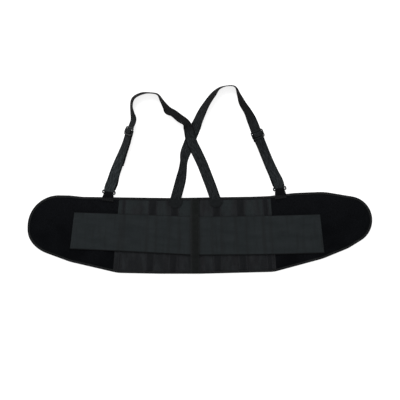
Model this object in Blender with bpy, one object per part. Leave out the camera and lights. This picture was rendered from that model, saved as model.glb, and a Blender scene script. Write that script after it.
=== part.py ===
"""A work back support belt lying flat, outer face up, with its shoulder straps spread out above it.

Lengths are in metres and angles in degrees. +X runs along the belt, +Y points from the belt to the
shoulder loops and +Z is up. Everything is drawn about the middle of the belt's top edge, and at the end
the whole belt is moved so that the middle of its box stands on the origin.
"""

import math
from bisect import bisect_right
from collections import namedtuple

import bmesh
import bpy
from mathutils import Matrix, Vector

# Belt body
BELT_LENGTH = 1.027
BELT_HEIGHT = 0.229
PANEL_THICKNESS = 0.0025
BACK_TOP_WIDTH = 0.450
BACK_BOTTOM_WIDTH = 0.489
BACK_OFFSET = -0.015
BINDING_WIDTH = 0.007
BINDING_THICKNESS = 0.001
BINDING_CREASE = 0.0006
CLEARANCE = 0.0003

# Stay channels and the strip down the middle of the back
STAY_WIDTH = 0.027
STAY_THICKNESS = 0.0015
STAY_END_GAP = 0.001
STAY_ROUND = 0.33
STRIP_WIDTH = 0.026
STRIP_THICKNESS = 0.0012

# Outer elastic band
BAND_LENGTH = 0.745
BAND_HEIGHT = 0.1145
BAND_THICKNESS = 0.0018
BAND_OFFSET = -0.008
BAND_SPLAY = 0.013
BAND_FALL = 0.030

# Shoulder strap webbing
STRAP_WIDTH = 0.03175
STRAP_THICKNESS = 0.0015
STRAP_REACH = 0.3326
STRAP_SEAT = 0.017
STRAP_BEND = 0.0018
BAR_BEND = 0.0016
RETURN_DRIFT = 0.003
TAIL_DRIFT = 0.0015
CROSSING_SLACK = 0.0008
CROSSING_NEAR = 0.035
CROSSING_FAR = 0.060

# Half-round patches over the strap ends
PATCH_WIDTH = 0.044
PATCH_DEPTH = 0.025
PATCH_THICKNESS = 0.001
PATCH_DROP = 0.0055
PATCH_RIM = 0.0028

# Three-bar sliders
SLIDER_THICKNESS = 0.003
SLIDER_MIDDLE_BAR = 0.005
SLIDER_END_BAR = 0.0045
SLIDER_SIDE_RAIL = 0.0033
SLIDER_SLOT = 0.006
SLIDER_CORNER = 0.006
SLIDER_EDGE = 0.0008

# Rings
RING_BAR = 0.0038
RING_OPENING = 0.0042
RING_CORNER = 0.0045
RING_EDGE = 0.0016
RING_APPROACH = 0.013
RING_STRAIGHT = 0.006
WEBBING_PLAY = 0.0008

# Fabric tabs that hold the rings
TAB_WIDTH = 0.028
TAB_FLARE = 0.034
TAB_THICKNESS = 0.001
TAB_SEAT = 0.012

# How finely curves are cut
OUTLINE_TURN = 9
BEND_TURN = 24
STRAP_STEP = 0.0065
BAND_STEP = 0.013
PLATE_TURN = 22.5
CORNER_TURN = 45
PATCH_STEPS = 16
SHARP_TURN = 50
HEADING_STEP = 0.01
MERGE = 1e-6

# Corners of the belt's outline, anticlockwise from the left tip. Along is a share of BELT_LENGTH from the
# middle, drop a share of BELT_HEIGHT below the top edge, and round a radius as a share of BELT_HEIGHT.
Corner = namedtuple("Corner", "along drop round")
BELT_CORNERS = [
    Corner(-0.500, 0.521, 0.300),
    Corner(-0.470, 0.690, 0.450),
    Corner(-0.377, 0.844, 0.520),
    Corner(-0.238, 0.989, 0.520),
    Corner(-0.116, 1.000, 0.780),
    Corner(0.000, 1.000, 0.780),
    Corner(0.215, 0.975, 0.390),
    Corner(0.357, 0.803, 0.780),
    Corner(0.431, 0.667, 0.520),
    Corner(0.500, 0.475, 0.310),
    Corner(0.500, 0.036, 0.310),
    Corner(0.360, -0.068, 0.780),
    Corner(0.273, -0.052, 0.520),
    Corner(0.200, -0.012, 0.520),
    Corner(0.151, -0.004, 0.780),
    Corner(-0.087, 0.013, 0.780),
    Corner(-0.220, 0.005, 0.780),
    Corner(-0.340, -0.002, 0.390),
    Corner(-0.377, -0.020, 0.390),
    Corner(-0.500, -0.030, 0.410),
]

# Stay channels. Place is a share of the back panel's width from its middle, width a share of STAY_WIDTH.
Stay = namedtuple("Stay", "name place width")
STAYS = [
    Stay("stay_outer_left", -0.465, 0.37),
    Stay("stay_left", -0.276, 1.00),
    Stay("stay_mid_left", -0.133, 1.00),
    Stay("stay_mid_right", 0.142, 1.00),
    Stay("stay_right", 0.298, 1.00),
    Stay("stay_outer_right", 0.463, 0.70),
]

# Sections along the outer band. Along is a share of BAND_LENGTH from its middle, middle a share of
# BELT_HEIGHT below the top edge, and height a share of BAND_HEIGHT.
BandSection = namedtuple("BandSection", "along middle height")
BAND_SECTIONS = [
    BandSection(-0.500, 0.439, 0.955),
    BandSection(-0.325, 0.462, 0.972),
    BandSection(-0.150, 0.487, 0.990),
    BandSection(0.000, 0.506, 1.010),
    BandSection(0.170, 0.503, 1.013),
    BandSection(0.320, 0.495, 1.013),
    BandSection(0.500, 0.479, 1.013),
]

# Sections along a shoulder strap from the belt to its slider. Across is a share of the way from the
# strap's anchor to its ring, up a share of STRAP_REACH above the belt, tilt the rise of the edge on the
# inside of the loop, and seat a share of the strap's height on the belt.
StrapSection = namedtuple("StrapSection", "across up tilt seat")
RIGHT_STRAP_SECTIONS = [
    StrapSection(0.028, 0.095, 0, 0.45),
    StrapSection(0.050, 0.176, -17, 0.0),
    StrapSection(0.064, 0.243, -37, 0.0),
    StrapSection(0.075, 0.319, -46, 0.0),
    StrapSection(0.088, 0.391, -20, 0.0),
    StrapSection(0.108, 0.444, 0, 0.0),
    StrapSection(0.142, 0.525, 0, 0.0),
    StrapSection(0.179, 0.610, 0, 0.0),
    StrapSection(0.212, 0.685, 32, 0.0),
    StrapSection(0.251, 0.765, 42, 0.0),
    StrapSection(0.301, 0.846, 56, 0.0),
    StrapSection(0.361, 0.925, 67, 0.0),
    StrapSection(0.418, 0.978, 83, 0.0),
    StrapSection(0.497, 1.000, 90, 0.0),
    StrapSection(0.567, 0.990, 88, 0.0),
    StrapSection(0.606, 0.927, 73, 0.0),
    StrapSection(0.642, 0.848, 56, 0.0),
    StrapSection(0.698, 0.767, 45, 0.0),
    StrapSection(0.738, 0.686, 26, 0.0),
]
LEFT_STRAP_SECTIONS = [
    StrapSection(0.035, 0.095, 0, 0.45),
    StrapSection(0.068, 0.176, 0, 0.0),
    StrapSection(0.124, 0.310, 0, 0.0),
    StrapSection(0.164, 0.390, 0, 0.0),
    StrapSection(0.228, 0.525, 0, 0.0),
    StrapSection(0.247, 0.610, 18, 0.0),
    StrapSection(0.271, 0.666, 45, 0.0),
    StrapSection(0.326, 0.703, 44, 0.0),
    StrapSection(0.402, 0.756, 48, 0.0),
    StrapSection(0.437, 0.776, 49, 0.0),
    StrapSection(0.463, 0.808, 60, 0.0),
    StrapSection(0.502, 0.866, 75, 0.0),
    StrapSection(0.538, 0.915, 85, 0.0),
    StrapSection(0.610, 0.932, 88, 0.0),
    StrapSection(0.704, 0.922, 86, 0.0),
    StrapSection(0.773, 0.880, 84, 0.0),
    StrapSection(0.787, 0.816, 85, 0.0),
    StrapSection(0.779, 0.753, 75, 0.0),
    StrapSection(0.770, 0.695, 64, 0.0),
]

# Sections of a strap between its slider and its ring. Plies is how many layers of webbing lie below.
FrontSection = namedtuple("FrontSection", "across up tilt plies")
RIGHT_FRONT_SECTIONS = [
    FrontSection(0.828, 0.474, 21, 2),
    FrontSection(0.865, 0.389, 21, 1),
    FrontSection(0.905, 0.300, 16, 1),
    FrontSection(0.948, 0.213, 4, 1),
    FrontSection(0.980, 0.158, 0, 1),
]
LEFT_FRONT_SECTIONS = [
    FrontSection(0.837, 0.490, 50, 2),
    FrontSection(0.875, 0.392, 40, 2),
    FrontSection(0.907, 0.313, 26, 2),
    FrontSection(0.938, 0.235, 14, 1),
    FrontSection(0.974, 0.134, 0, 1),
]

# How far the ply that comes back from the ring stands out from below the upper one. Way goes from the
# slider to the ring, and share is of RETURN_DRIFT.
Drift = namedtuple("Drift", "way share")
RETURN_DRIFTS = [
    Drift(0.00, 0.0),
    Drift(0.70, 0.0),
    Drift(0.90, 1.0),
    Drift(1.00, 0.0),
]

# One shoulder strap: where it leaves the belt, where its ring hangs, how long its loose tail is and which
# way its loop turns. Turn is 1 for a clockwise loop seen from above and -1 for an anticlockwise one.
Side = namedtuple("Side", "name turn anchor_x ring_x tab_reach ring_lean tail sections slider front")
RIGHT_SIDE = Side(
    name="right", turn=1, anchor_x=-0.0711, ring_x=0.2381, tab_reach=0.014, ring_lean=8, tail=0.018,
    sections=RIGHT_STRAP_SECTIONS, slider=StrapSection(0.7868, 0.567, 17, 0.0), front=RIGHT_FRONT_SECTIONS)
LEFT_SIDE = Side(
    name="left", turn=-1, anchor_x=0.0445, ring_x=-0.2715, tab_reach=0.0107, ring_lean=-8, tail=0.104,
    sections=LEFT_STRAP_SECTIONS, slider=StrapSection(0.8042, 0.590, 57, 0.12), front=LEFT_FRONT_SECTIONS)

# Heights of the layers, from the floor up
PANEL_LOW = BINDING_THICKNESS + CLEARANCE
PANEL_TOP = PANEL_LOW + PANEL_THICKNESS
BINDING_TOP = PANEL_TOP + CLEARANCE + BINDING_THICKNESS
STAY_LOW = PANEL_TOP + CLEARANCE
STAY_TOP = STAY_LOW + STAY_THICKNESS
BAND_LOW_ON_STAYS = STAY_TOP + CLEARANCE
BAND_LOW_ON_PANELS = PANEL_TOP + CLEARANCE
BAND_TOP = BAND_LOW_ON_STAYS + BAND_THICKNESS
SEAT_LEVEL = max(STAY_TOP, BINDING_TOP) + CLEARANCE

# Layers of webbing, from mid-line to mid-line
PLY = STRAP_THICKNESS + CLEARANCE
SLIDER_RISE = STRAP_THICKNESS / 2 + CLEARANCE + SLIDER_THICKNESS / 2
RING_WRAP = RING_BAR / 2 + CLEARANCE + STRAP_THICKNESS / 2
RING_SPACING = RING_OPENING + RING_BAR
RING_LIFT = RING_WRAP + PLY / 2
RING_LEVEL = STRAP_THICKNESS / 2 + RING_LIFT - PLY / 2
TAB_WRAP = RING_BAR / 2 + CLEARANCE + TAB_THICKNESS / 2

Knot = namedtuple("Knot", "point tilt lift heading")
UP = Vector((0, 0, 1))


def finish(name, colour, roughness):
    """Return a plain material with one colour and one roughness."""
    material = bpy.data.materials.new(name)
    material.use_nodes = True
    shader = material.node_tree.nodes["Principled BSDF"]
    shader.inputs["Base Color"].default_value = (*colour, 1)
    shader.inputs["Roughness"].default_value = roughness
    shader.inputs["Metallic"].default_value = 0.0
    return material


def add_object(name, mesh, material):
    """Put a mesh in the scene under a name, with its material."""
    mesh.materials.append(material)
    piece = bpy.data.objects.new(name, mesh)
    bpy.context.collection.objects.link(piece)
    return piece


def rounded(corners, radii, turn_step, closed=False):
    """Round each corner of a flat path with an arc, and return the path's points."""
    count = len(corners)
    last = count if closed else count - 1
    edges = [corners[(i + 1) % count] - corners[i] for i in range(last)]
    turns = [0.0] * count
    reaches = [0.0] * count
    for i in range(0 if closed else 1, last):
        turns[i] = edges[i - 1].angle_signed(edges[i])
        reaches[i] = radii[i] * math.tan(abs(turns[i]) / 2)
    shares = [1.0] * count
    for i, edge in enumerate(edges):
        after = (i + 1) % count
        needed = reaches[i] + reaches[after]
        if needed > edge.length:
            share = edge.length / needed
            shares[i] = min(shares[i], share)
            shares[after] = min(shares[after], share)
    points = []
    for i, corner in enumerate(corners):
        reach = reaches[i] * shares[i]
        if reach == 0.0:
            points.append(corner.copy())
            continue
        heading = edges[i - 1].normalized()
        side = Vector((-heading.y, heading.x)) * (-1 if turns[i] > 0 else 1)
        radius = reach / math.tan(abs(turns[i]) / 2)
        start = corner - heading * reach
        steps = max(1, math.ceil(abs(math.degrees(turns[i])) / turn_step))
        for step in range(steps + 1):
            angle = abs(turns[i]) * step / steps
            points.append(start + heading * radius * math.sin(angle) + side * radius * (1 - math.cos(angle)))
    kept = [point for i, point in enumerate(points) if i == 0 or (point - points[i - 1]).length > MERGE]
    if closed and (kept[0] - kept[-1]).length <= MERGE:
        kept.pop()
    return kept


def inset(loop, distance):
    """Move an anticlockwise loop inwards by a distance, or outwards by a negative one."""
    moved = []
    for i, point in enumerate(loop):
        before = (point - loop[i - 1]).normalized()
        after = (loop[(i + 1) % len(loop)] - point).normalized()
        left_before = Vector((-before.y, before.x))
        left_after = Vector((-after.y, after.x))
        reach = 1 + left_before.dot(left_after)
        moved.append(point + (left_before + left_after) * (distance / reach))
    return moved


def box_corners(half_width, half_height, middle=(0, 0)):
    """Return the four corners of an upright box, anticlockwise."""
    signs = [(-1, -1), (1, -1), (1, 1), (-1, 1)]
    return [Vector((middle[0] + half_width * x, middle[1] + half_height * y)) for x, y in signs]


def split_long_steps(path, longest):
    """Add points to a path so that no step of it is longer than a length."""
    points = [path[0]]
    for start, end in zip(path, path[1:]):
        steps = max(1, math.ceil((end - start).length / longest))
        points.extend(start.lerp(end, step / steps) for step in range(1, steps + 1))
    return points


def smooth_slopes(places, values):
    """Slopes of a curve through values, none of which it overshoots."""
    rises = [(values[i + 1] - values[i]) / (places[i + 1] - places[i]) for i in range(len(values) - 1)]
    slopes = [rises[0]]
    for before, after in zip(rises, rises[1:]):
        slopes.append(2 * before * after / (before + after) if before * after > 0 else 0.0)
    return slopes + [rises[-1]]


def eased(share):
    """A share from 0 to 1 that starts and stops gently, held inside those limits."""
    share = min(max(share, 0), 1)
    return share * share * (3 - 2 * share)


def between(start, end, start_slope, end_slope, length, share):
    """A value on a smooth curve between two knots."""
    rest = 1 - share
    ease = rest * rest * (1 + 2 * share) * start + share * share * (1 + 2 * rest) * end
    return ease + length * (rest * rest * share * start_slope - share * share * rest * end_slope)


def smooth_value(places, values, place):
    """Read a smooth curve through a table of places and values."""
    slopes = smooth_slopes(places, values)
    i = min(max(bisect_right(places, place) - 1, 0), len(places) - 2)
    length = places[i + 1] - places[i]
    share = min(max((place - places[i]) / length, 0), 1)
    return between(values[i], values[i + 1], slopes[i], slopes[i + 1], length, share)


def sheet(name, rows, thickness, material, closed=False, side=0):
    """Make a cloth piece from rows of points. Its thickness goes to both sides, or up for side 1."""
    mesh = bpy.data.meshes.new(name)
    width = len(rows[0])
    faces = []
    for i in range(len(rows) if closed else len(rows) - 1):
        after = (i + 1) % len(rows)
        for j in range(width - 1):
            faces.append((i * width + j, i * width + j + 1, after * width + j + 1, after * width + j))
    mesh.from_pydata([point for row in rows for point in row], [], faces)
    piece = add_object(name, mesh, material)
    wall = piece.modifiers.new("cloth thickness", "SOLIDIFY")
    wall.thickness = thickness
    wall.offset = side
    wall.use_even_offset = True
    wall.use_quality_normals = True
    return piece


def slab(name, outline, low, thickness, material, cuts=()):
    """Make a flat piece from an outline. Each cut is a point and a direction that points to the waste."""
    bm = bmesh.new()
    bm.faces.new([bm.verts.new((point.x, point.y, low)) for point in outline])
    for place, waste in cuts:
        geometry = list(bm.verts) + list(bm.edges) + list(bm.faces)
        bmesh.ops.bisect_plane(
            bm, geom=geometry, dist=MERGE, plane_co=(place.x, place.y, low),
            plane_no=(waste.x, waste.y, 0), clear_outer=True)
    extruded = bmesh.ops.extrude_face_region(bm, geom=list(bm.faces))
    raised = [item for item in extruded["geom"] if isinstance(item, bmesh.types.BMVert)]
    bmesh.ops.translate(bm, verts=raised, vec=(0, 0, thickness))
    bmesh.ops.recalc_face_normals(bm, faces=list(bm.faces))
    mesh = bpy.data.meshes.new(name)
    bm.to_mesh(mesh)
    bm.free()
    return add_object(name, mesh, material)


def moulded_plate(name, outer, holes, thickness, edge, material):
    """Make a moulded plate with holes and rounded edges, its mid-plane at height 0."""
    levels = []
    for angle in (0, CORNER_TURN, 90):
        levels.append((edge * (1 - math.sin(math.radians(angle))), edge * (1 - math.cos(math.radians(angle)))))
    profile = [(narrowing, rise - thickness / 2) for narrowing, rise in levels]
    profile += [(narrowing, thickness / 2 - rise) for narrowing, rise in reversed(levels)]
    bm = bmesh.new()
    caps = ([], [])
    for loop, sign in [(outer, 1)] + [(hole, -1) for hole in holes]:
        rings = []
        for narrowing, height in profile:
            points = inset(loop, sign * narrowing)
            rings.append([bm.verts.new((point.x, point.y, height)) for point in points])
        for ring in (rings[0], rings[-1]):
            for i, vertex in enumerate(ring):
                bm.edges.new((vertex, ring[(i + 1) % len(ring)]))
        for lower, upper in zip(rings, rings[1:]):
            for i in range(len(lower)):
                after = (i + 1) % len(lower)
                bm.faces.new((lower[i], lower[after], upper[after], upper[i]))
        caps[0].extend(rings[0])
        caps[1].extend(rings[-1])
    for cap in caps:
        members = set(cap)
        edges = [line for line in bm.edges if line.verts[0] in members and line.verts[1] in members]
        bmesh.ops.triangle_fill(bm, use_beauty=True, use_dissolve=False, edges=edges)
    bmesh.ops.recalc_face_normals(bm, faces=list(bm.faces))
    mesh = bpy.data.meshes.new(name)
    bm.to_mesh(mesh)
    bm.free()
    mesh.shade_smooth()
    mesh.set_sharp_from_angle(angle=math.radians(SHARP_TURN))
    return add_object(name, mesh, material)


def belt_outline():
    """The outer edge of the binding, seen from above."""
    corners = [Vector((row.along * BELT_LENGTH, -row.drop * BELT_HEIGHT)) for row in BELT_CORNERS]
    radii = [row.round * BELT_HEIGHT for row in BELT_CORNERS]
    return rounded(corners, radii, OUTLINE_TURN, closed=True)


def edge_height(outline, x, top):
    """Where an upright line at x crosses the outline's top or bottom edge."""
    crossings = []
    for i, end in enumerate(outline):
        start = outline[i - 1]
        if min(start.x, end.x) <= x < max(start.x, end.x):
            crossings.append(start.y + (end.y - start.y) * (x - start.x) / (end.x - start.x))
    return max(crossings) if top else min(crossings)


def back_x(place, y):
    """A place on the back panel, which widens towards its bottom edge."""
    way_down = -y / BELT_HEIGHT
    width = BACK_TOP_WIDTH + (BACK_BOTTOM_WIDTH - BACK_TOP_WIDTH) * way_down
    return BACK_OFFSET + place * width


def seam_cut(side, gap):
    """The slanting seam at one side of the back panel, and the direction away from the back panel."""
    top = Vector((back_x(side * 0.5, 0), 0))
    bottom = Vector((back_x(side * 0.5, -BELT_HEIGHT), -BELT_HEIGHT))
    along = (bottom - top).normalized()
    away = Vector((-along.y, along.x)) * side
    return top + away * gap, away


def build_panels(outline, mesh_cloth, pile_cloth):
    """The mesh back panel between the two loop pile end panels, all cut from one outline."""
    panel_outline = inset(outline, BINDING_THICKNESS + CLEARANCE)
    cuts = [seam_cut(side, -CLEARANCE / 2) for side in (-1, 1)]
    slab("back_panel", panel_outline, PANEL_LOW, PANEL_THICKNESS, mesh_cloth, cuts)
    for name, side in (("left_end_panel", -1), ("right_end_panel", 1)):
        place, away = seam_cut(side, CLEARANCE / 2)
        slab(name, panel_outline, PANEL_LOW, PANEL_THICKNESS, pile_cloth, [(place, -away)])


def build_binding(outline, tape_cloth):
    """The tape folded round the edge of all three panels."""
    middle = BINDING_THICKNESS / 2
    top = BINDING_TOP - middle
    profile = [
        (BINDING_WIDTH, top), (middle + BINDING_CREASE, top), (middle, top - BINDING_CREASE),
        (middle, middle + BINDING_CREASE), (middle + BINDING_CREASE, middle), (BINDING_WIDTH, middle),
    ]
    loops = [(inset(outline, narrowing), height) for narrowing, height in profile]
    rows = [[(loop[i].x, loop[i].y, height) for loop, height in loops] for i in range(len(outline))]
    sheet("edge_binding", rows, BINDING_THICKNESS, tape_cloth, closed=True)


def build_stays(outline, channel_cloth):
    """The channels that hold the flat stays, sewn on the back panel and fanning out downwards."""
    inward = BINDING_WIDTH + STAY_END_GAP
    for stay in STAYS:
        half = stay.width * STAY_WIDTH / 2
        ends = []
        for top in (True, False):
            middle = back_x(stay.place, 0 if top else -BELT_HEIGHT)
            heights = [edge_height(outline, middle + sign * half, top) for sign in (-1, 1)]
            ends.append(min(heights) - inward if top else max(heights) + inward)
        high, low = ends
        corners = [
            Vector((back_x(stay.place, low) - half, low)), Vector((back_x(stay.place, low) + half, low)),
            Vector((back_x(stay.place, high) + half, high)), Vector((back_x(stay.place, high) - half, high)),
        ]
        outline_of_stay = rounded(corners, [half * STAY_ROUND] * len(corners), CORNER_TURN, closed=True)
        slab(stay.name, outline_of_stay, STAY_LOW, STAY_THICKNESS, channel_cloth)


def band_edge(share, top):
    """A point of the band's top or bottom edge, seen from above, at a share of its length."""
    shares = [row.along for row in BAND_SECTIONS]
    middle = -smooth_value(shares, [row.middle for row in BAND_SECTIONS], share) * BELT_HEIGHT
    height = smooth_value(shares, [row.height for row in BAND_SECTIONS], share) * BAND_HEIGHT
    sign = 1 if top else -1
    return Vector((BAND_OFFSET + share * BAND_LENGTH - sign * share * BAND_SPLAY, middle + sign * height / 2))


def build_band(elastic):
    """The outer elastic band, over the stays at the back and down on the end panels at its ends."""
    steps = math.ceil(BAND_LENGTH / BAND_STEP)
    rows = []
    for step in range(steps + 1):
        row = []
        for top in (False, True):
            point = band_edge(step / steps - 0.5, top)
            beyond = max(abs(point.x - BACK_OFFSET) - abs(back_x(0.5, point.y) - BACK_OFFSET), 0)
            low = BAND_LOW_ON_STAYS + (BAND_LOW_ON_PANELS - BAND_LOW_ON_STAYS) * eased(beyond / BAND_FALL)
            row.append((point.x, point.y, low + BAND_THICKNESS / 2))
        rows.append(row)
    sheet("outer_band", rows, BAND_THICKNESS, elastic)


def build_centre_strip(outline, tape_cloth):
    """The strip down the middle of the back, from edge to edge and over the band."""
    middle_share = (BACK_OFFSET - BAND_OFFSET) / BAND_LENGTH
    low = BINDING_TOP + CLEARANCE + STRIP_THICKNESS / 2
    high = BAND_TOP + CLEARANCE + STRIP_THICKNESS / 2
    run = BAND_THICKNESS
    top = edge_height(outline, BACK_OFFSET, True) - BINDING_THICKNESS
    bottom = edge_height(outline, BACK_OFFSET, False) + BINDING_THICKNESS
    band_top = band_edge(middle_share, True).y + run
    band_bottom = band_edge(middle_share, False).y - run
    path = [
        Vector((bottom, low)), Vector((band_bottom - run * 2, low)), Vector((band_bottom, high)),
        Vector((band_top, high)), Vector((band_top + run * 2, low)), Vector((top, low)),
    ]
    path = rounded(path, [run] * len(path), BEND_TURN)
    half = STRIP_WIDTH / 2
    rows = [[(BACK_OFFSET + half, y, z), (BACK_OFFSET - half, y, z)] for y, z in path]
    sheet("centre_strip", rows, STRIP_THICKNESS, tape_cloth)


class Carrier:
    """The mid-line of a strap's upper ply, with its width and face directions at every point."""

    def __init__(self, knots, turn, extra_lift=None):
        self.turn = turn
        self.runs = [0.0]
        self.points = []
        self.widths = []
        self.faces = []
        self.knot_runs = [0.0]
        chords = [after.point - before.point for before, after in zip(knots, knots[1:])]
        headings = self.headings_at(knots, chords)
        places = [0.0]
        for chord in chords:
            places.append(places[-1] + chord.length)
        tilts = [knot.tilt for knot in knots]
        lifts = [knot.lift for knot in knots]
        self.add_sample(knots[0].point, headings[0], tilts[0], lifts[0], extra_lift)
        for i, chord in enumerate(chords):
            steps = max(1, round(chord.length / STRAP_STEP))
            for step in range(1, steps + 1):
                share = step / steps
                ends = (knots[i].point, knots[i + 1].point, headings[i], headings[i + 1], chord.length)
                point = between(*ends, share)
                ahead = between(*ends, min(share + HEADING_STEP, 1))
                heading = (ahead - between(*ends, share - HEADING_STEP)).normalized()
                place = places[i] + chord.length * share
                tilt = smooth_value(places, tilts, place)
                lift = smooth_value(places, lifts, place)
                self.runs.append(self.runs[-1] + (point - self.points[-1].xy).length)
                self.add_sample(point, heading, tilt, lift, extra_lift)
            self.knot_runs.append(self.runs[-1])

    @staticmethod
    def headings_at(knots, chords):
        """The heading at each knot: its own, or that of the circle through it and its neighbours."""
        headings = []
        for i, knot in enumerate(knots):
            near = chords[max(i - 1, 0):i + 1]
            heading = sum((chord / chord.length_squared for chord in near), Vector((0, 0)))
            headings.append(knot.heading or heading.normalized())
        return headings

    def add_sample(self, point, heading, tilt, lift, extra_lift):
        """Add a point at the height where a strap that tilted and lifted lies on what is below it."""
        angle = math.radians(tilt)
        right = Vector((heading.y, -heading.x, 0))
        height = STRAP_WIDTH / 2 * abs(math.sin(angle)) + (STRAP_THICKNESS / 2 + lift) * math.cos(angle)
        if extra_lift:
            height += extra_lift(point)
        self.points.append(Vector((point.x, point.y, height)))
        self.widths.append(right * math.cos(angle) + UP * math.sin(angle) * self.turn)
        self.faces.append(UP * math.cos(angle) - right * math.sin(angle) * self.turn)

    def at(self, run):
        """The point, width direction and face direction at a run along the strap."""
        i = min(max(bisect_right(self.runs, run) - 1, 0), len(self.runs) - 2)
        share = (run - self.runs[i]) / (self.runs[i + 1] - self.runs[i])
        point = self.points[i].lerp(self.points[i + 1], share)
        width = self.widths[i].lerp(self.widths[i + 1], share).normalized()
        face = self.faces[i].lerp(self.faces[i + 1], share).normalized()
        return point, width, face

    def placing(self, run, rise):
        """The matrix of a rigid piece on the strap: X across it, Y along it and Z off its face."""
        point, width, face = self.at(run)
        along = face.cross(width)
        turned = Matrix((width, along, face)).transposed()
        return Matrix.Translation(point + face * rise) @ turned.to_4x4()


def ring_heading(side):
    """The direction from a ring down to the belt."""
    lean = math.radians(side.ring_lean)
    return Vector((math.sin(lean), -math.cos(lean)))


def ring_lower_bar(side, outline):
    """The middle of the ring's bar that the tab holds."""
    return Vector((side.ring_x, edge_height(outline, side.ring_x, True) + side.tab_reach))


def strap_knots(side, outline):
    """The knots of one strap, from its seat on the belt round the loop to its ring."""
    anchor = Vector((side.anchor_x, edge_height(outline, side.anchor_x, True)))
    ring_top = ring_lower_bar(side, outline) - ring_heading(side) * RING_SPACING

    def place(section):
        across = anchor.x + section.across * (ring_top.x - anchor.x)
        return Vector((across, anchor.y + section.up * STRAP_REACH))

    away = (place(side.sections[0]) - anchor).normalized()
    knots = [
        Knot(anchor - away * STRAP_SEAT, 0, SEAT_LEVEL, away),
        Knot(anchor + away * BINDING_WIDTH, 0, SEAT_LEVEL, away),
    ]
    for section in side.sections:
        knots.append(Knot(place(section), section.tilt, section.seat * SEAT_LEVEL, None))
    slider = place(side.slider)
    to_ring = (ring_top - slider).normalized()
    approach = (slider - knots[-1].point).normalized()
    heading = (to_ring + approach).normalized()
    lift = 2 * PLY + side.slider.seat * SEAT_LEVEL
    for sign in (-1, 1):
        knots.append(Knot(slider + heading * slider_half_run() * sign, side.slider.tilt, lift, heading))
    for section in side.front:
        knots.append(Knot(place(section), section.tilt, section.plies * PLY, None))
    down = ring_heading(side)
    knots.append(Knot(ring_top - down * RING_STRAIGHT, 0, RING_LIFT, down))
    knots.append(Knot(ring_top + down * RING_SPACING / 2, 0, RING_LIFT, down))
    return knots


def slider_half_length():
    """Half of the slider's length along the strap."""
    return SLIDER_MIDDLE_BAR / 2 + SLIDER_SLOT + SLIDER_END_BAR


def slider_half_run():
    """Half of the stretch of strap that stays straight at the slider."""
    return slider_half_length() + STRAP_BEND


def webbing_path(slider_run, ring_run, tail):
    """The webbing's whole course as runs along the carrier and heights off its face.

    It goes under the slider's far bar, over the middle bar and under the near bar, down to the ring, round
    the ring's upper bar and back below itself, up and round the slider's middle bar, and ends in a tail.
    """
    wrap = SLIDER_MIDDLE_BAR / 2 + CLEARANCE + STRAP_THICKNESS / 2
    slot_end = SLIDER_MIDDLE_BAR / 2 + SLIDER_SLOT
    rise = (wrap + STRAP_THICKNESS / 2 + slot_end) / 2
    foot = rise + STRAP_THICKNESS / 2
    crown = rise - STRAP_THICKNESS / 2
    over_bar = 2 * SLIDER_RISE
    ring_top = RING_WRAP - PLY / 2
    ring_low = -RING_WRAP - PLY / 2
    corners = [
        (0, 0), (slider_run - foot, 0), (slider_run - crown, over_bar + PLY),
        (slider_run + crown, over_bar + PLY), (slider_run + foot, 0),
        (ring_run - RING_APPROACH, 0), (ring_run - RING_BAR, ring_top), (ring_run + RING_WRAP, ring_top),
        (ring_run + RING_WRAP, ring_low), (ring_run - RING_BAR, ring_low), (ring_run - RING_APPROACH, -PLY),
        (slider_run + wrap, -PLY), (slider_run + wrap, over_bar), (slider_run - wrap, over_bar),
        (slider_run - wrap, -2 * PLY), (slider_run + tail, -2 * PLY),
    ]
    radii = [STRAP_BEND] * len(corners)
    radii[7] = radii[8] = RING_WRAP
    radii[12] = radii[13] = BAR_BEND
    corners = [Vector(corner) for corner in corners]
    return split_long_steps(rounded(corners, radii, BEND_TURN), STRAP_STEP)


def build_strap(side, carrier, webbing):
    """One shoulder strap as a single ribbon of webbing."""
    slider_run, ring_run = fitting_runs(side, carrier)
    path = webbing_path(slider_run, ring_run, side.tail)
    ring_turn = max(range(len(path)), key=lambda i: path[i].x)
    bar_turn = min(range(ring_turn, len(path)), key=lambda i: path[i].x)
    ways = [row.way for row in RETURN_DRIFTS]
    shares = [row.share for row in RETURN_DRIFTS]
    rows = []
    for i, (run, height) in enumerate(path):
        point, width, face = carrier.at(run)
        drift = 0
        if ring_turn < i <= bar_turn:
            drift = RETURN_DRIFT * smooth_value(ways, shares, (run - slider_run) / (ring_run - slider_run))
        elif i > bar_turn:
            drift = TAIL_DRIFT * eased((run - slider_run) / side.tail)
        middle = point + face * height + width * drift * side.turn
        rows.append([middle + width * STRAP_WIDTH / 2, middle - width * STRAP_WIDTH / 2])
    sheet(side.name + "_shoulder_strap", rows, STRAP_THICKNESS, webbing)


def fitting_runs(side, carrier):
    """The runs along a carrier of the slider's middle bar and of the ring's upper bar."""
    slider_run = carrier.knot_runs[-3 - len(side.front)] - slider_half_run()
    ring_run = carrier.knot_runs[-1] - RING_SPACING / 2
    return slider_run, ring_run


def build_slider(side, carrier, plastic):
    """The three-bar slider, with the strap's plies through its two slots."""
    half_slot = STRAP_WIDTH / 2 + WEBBING_PLAY
    outer = box_corners(half_slot + SLIDER_SIDE_RAIL, slider_half_length())
    holes = []
    for sign in (-1, 1):
        middle = sign * (SLIDER_MIDDLE_BAR + SLIDER_SLOT) / 2
        corners = box_corners(half_slot, SLIDER_SLOT / 2, (0, middle))
        holes.append(rounded(corners, [SLIDER_EDGE] * 4, CORNER_TURN, closed=True))
    outer = rounded(outer, [SLIDER_CORNER] * 4, PLATE_TURN, closed=True)
    slider = moulded_plate(side.name + "_slider", outer, holes, SLIDER_THICKNESS, SLIDER_EDGE, plastic)
    slider.matrix_world = carrier.placing(fitting_runs(side, carrier)[0], SLIDER_RISE)


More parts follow.
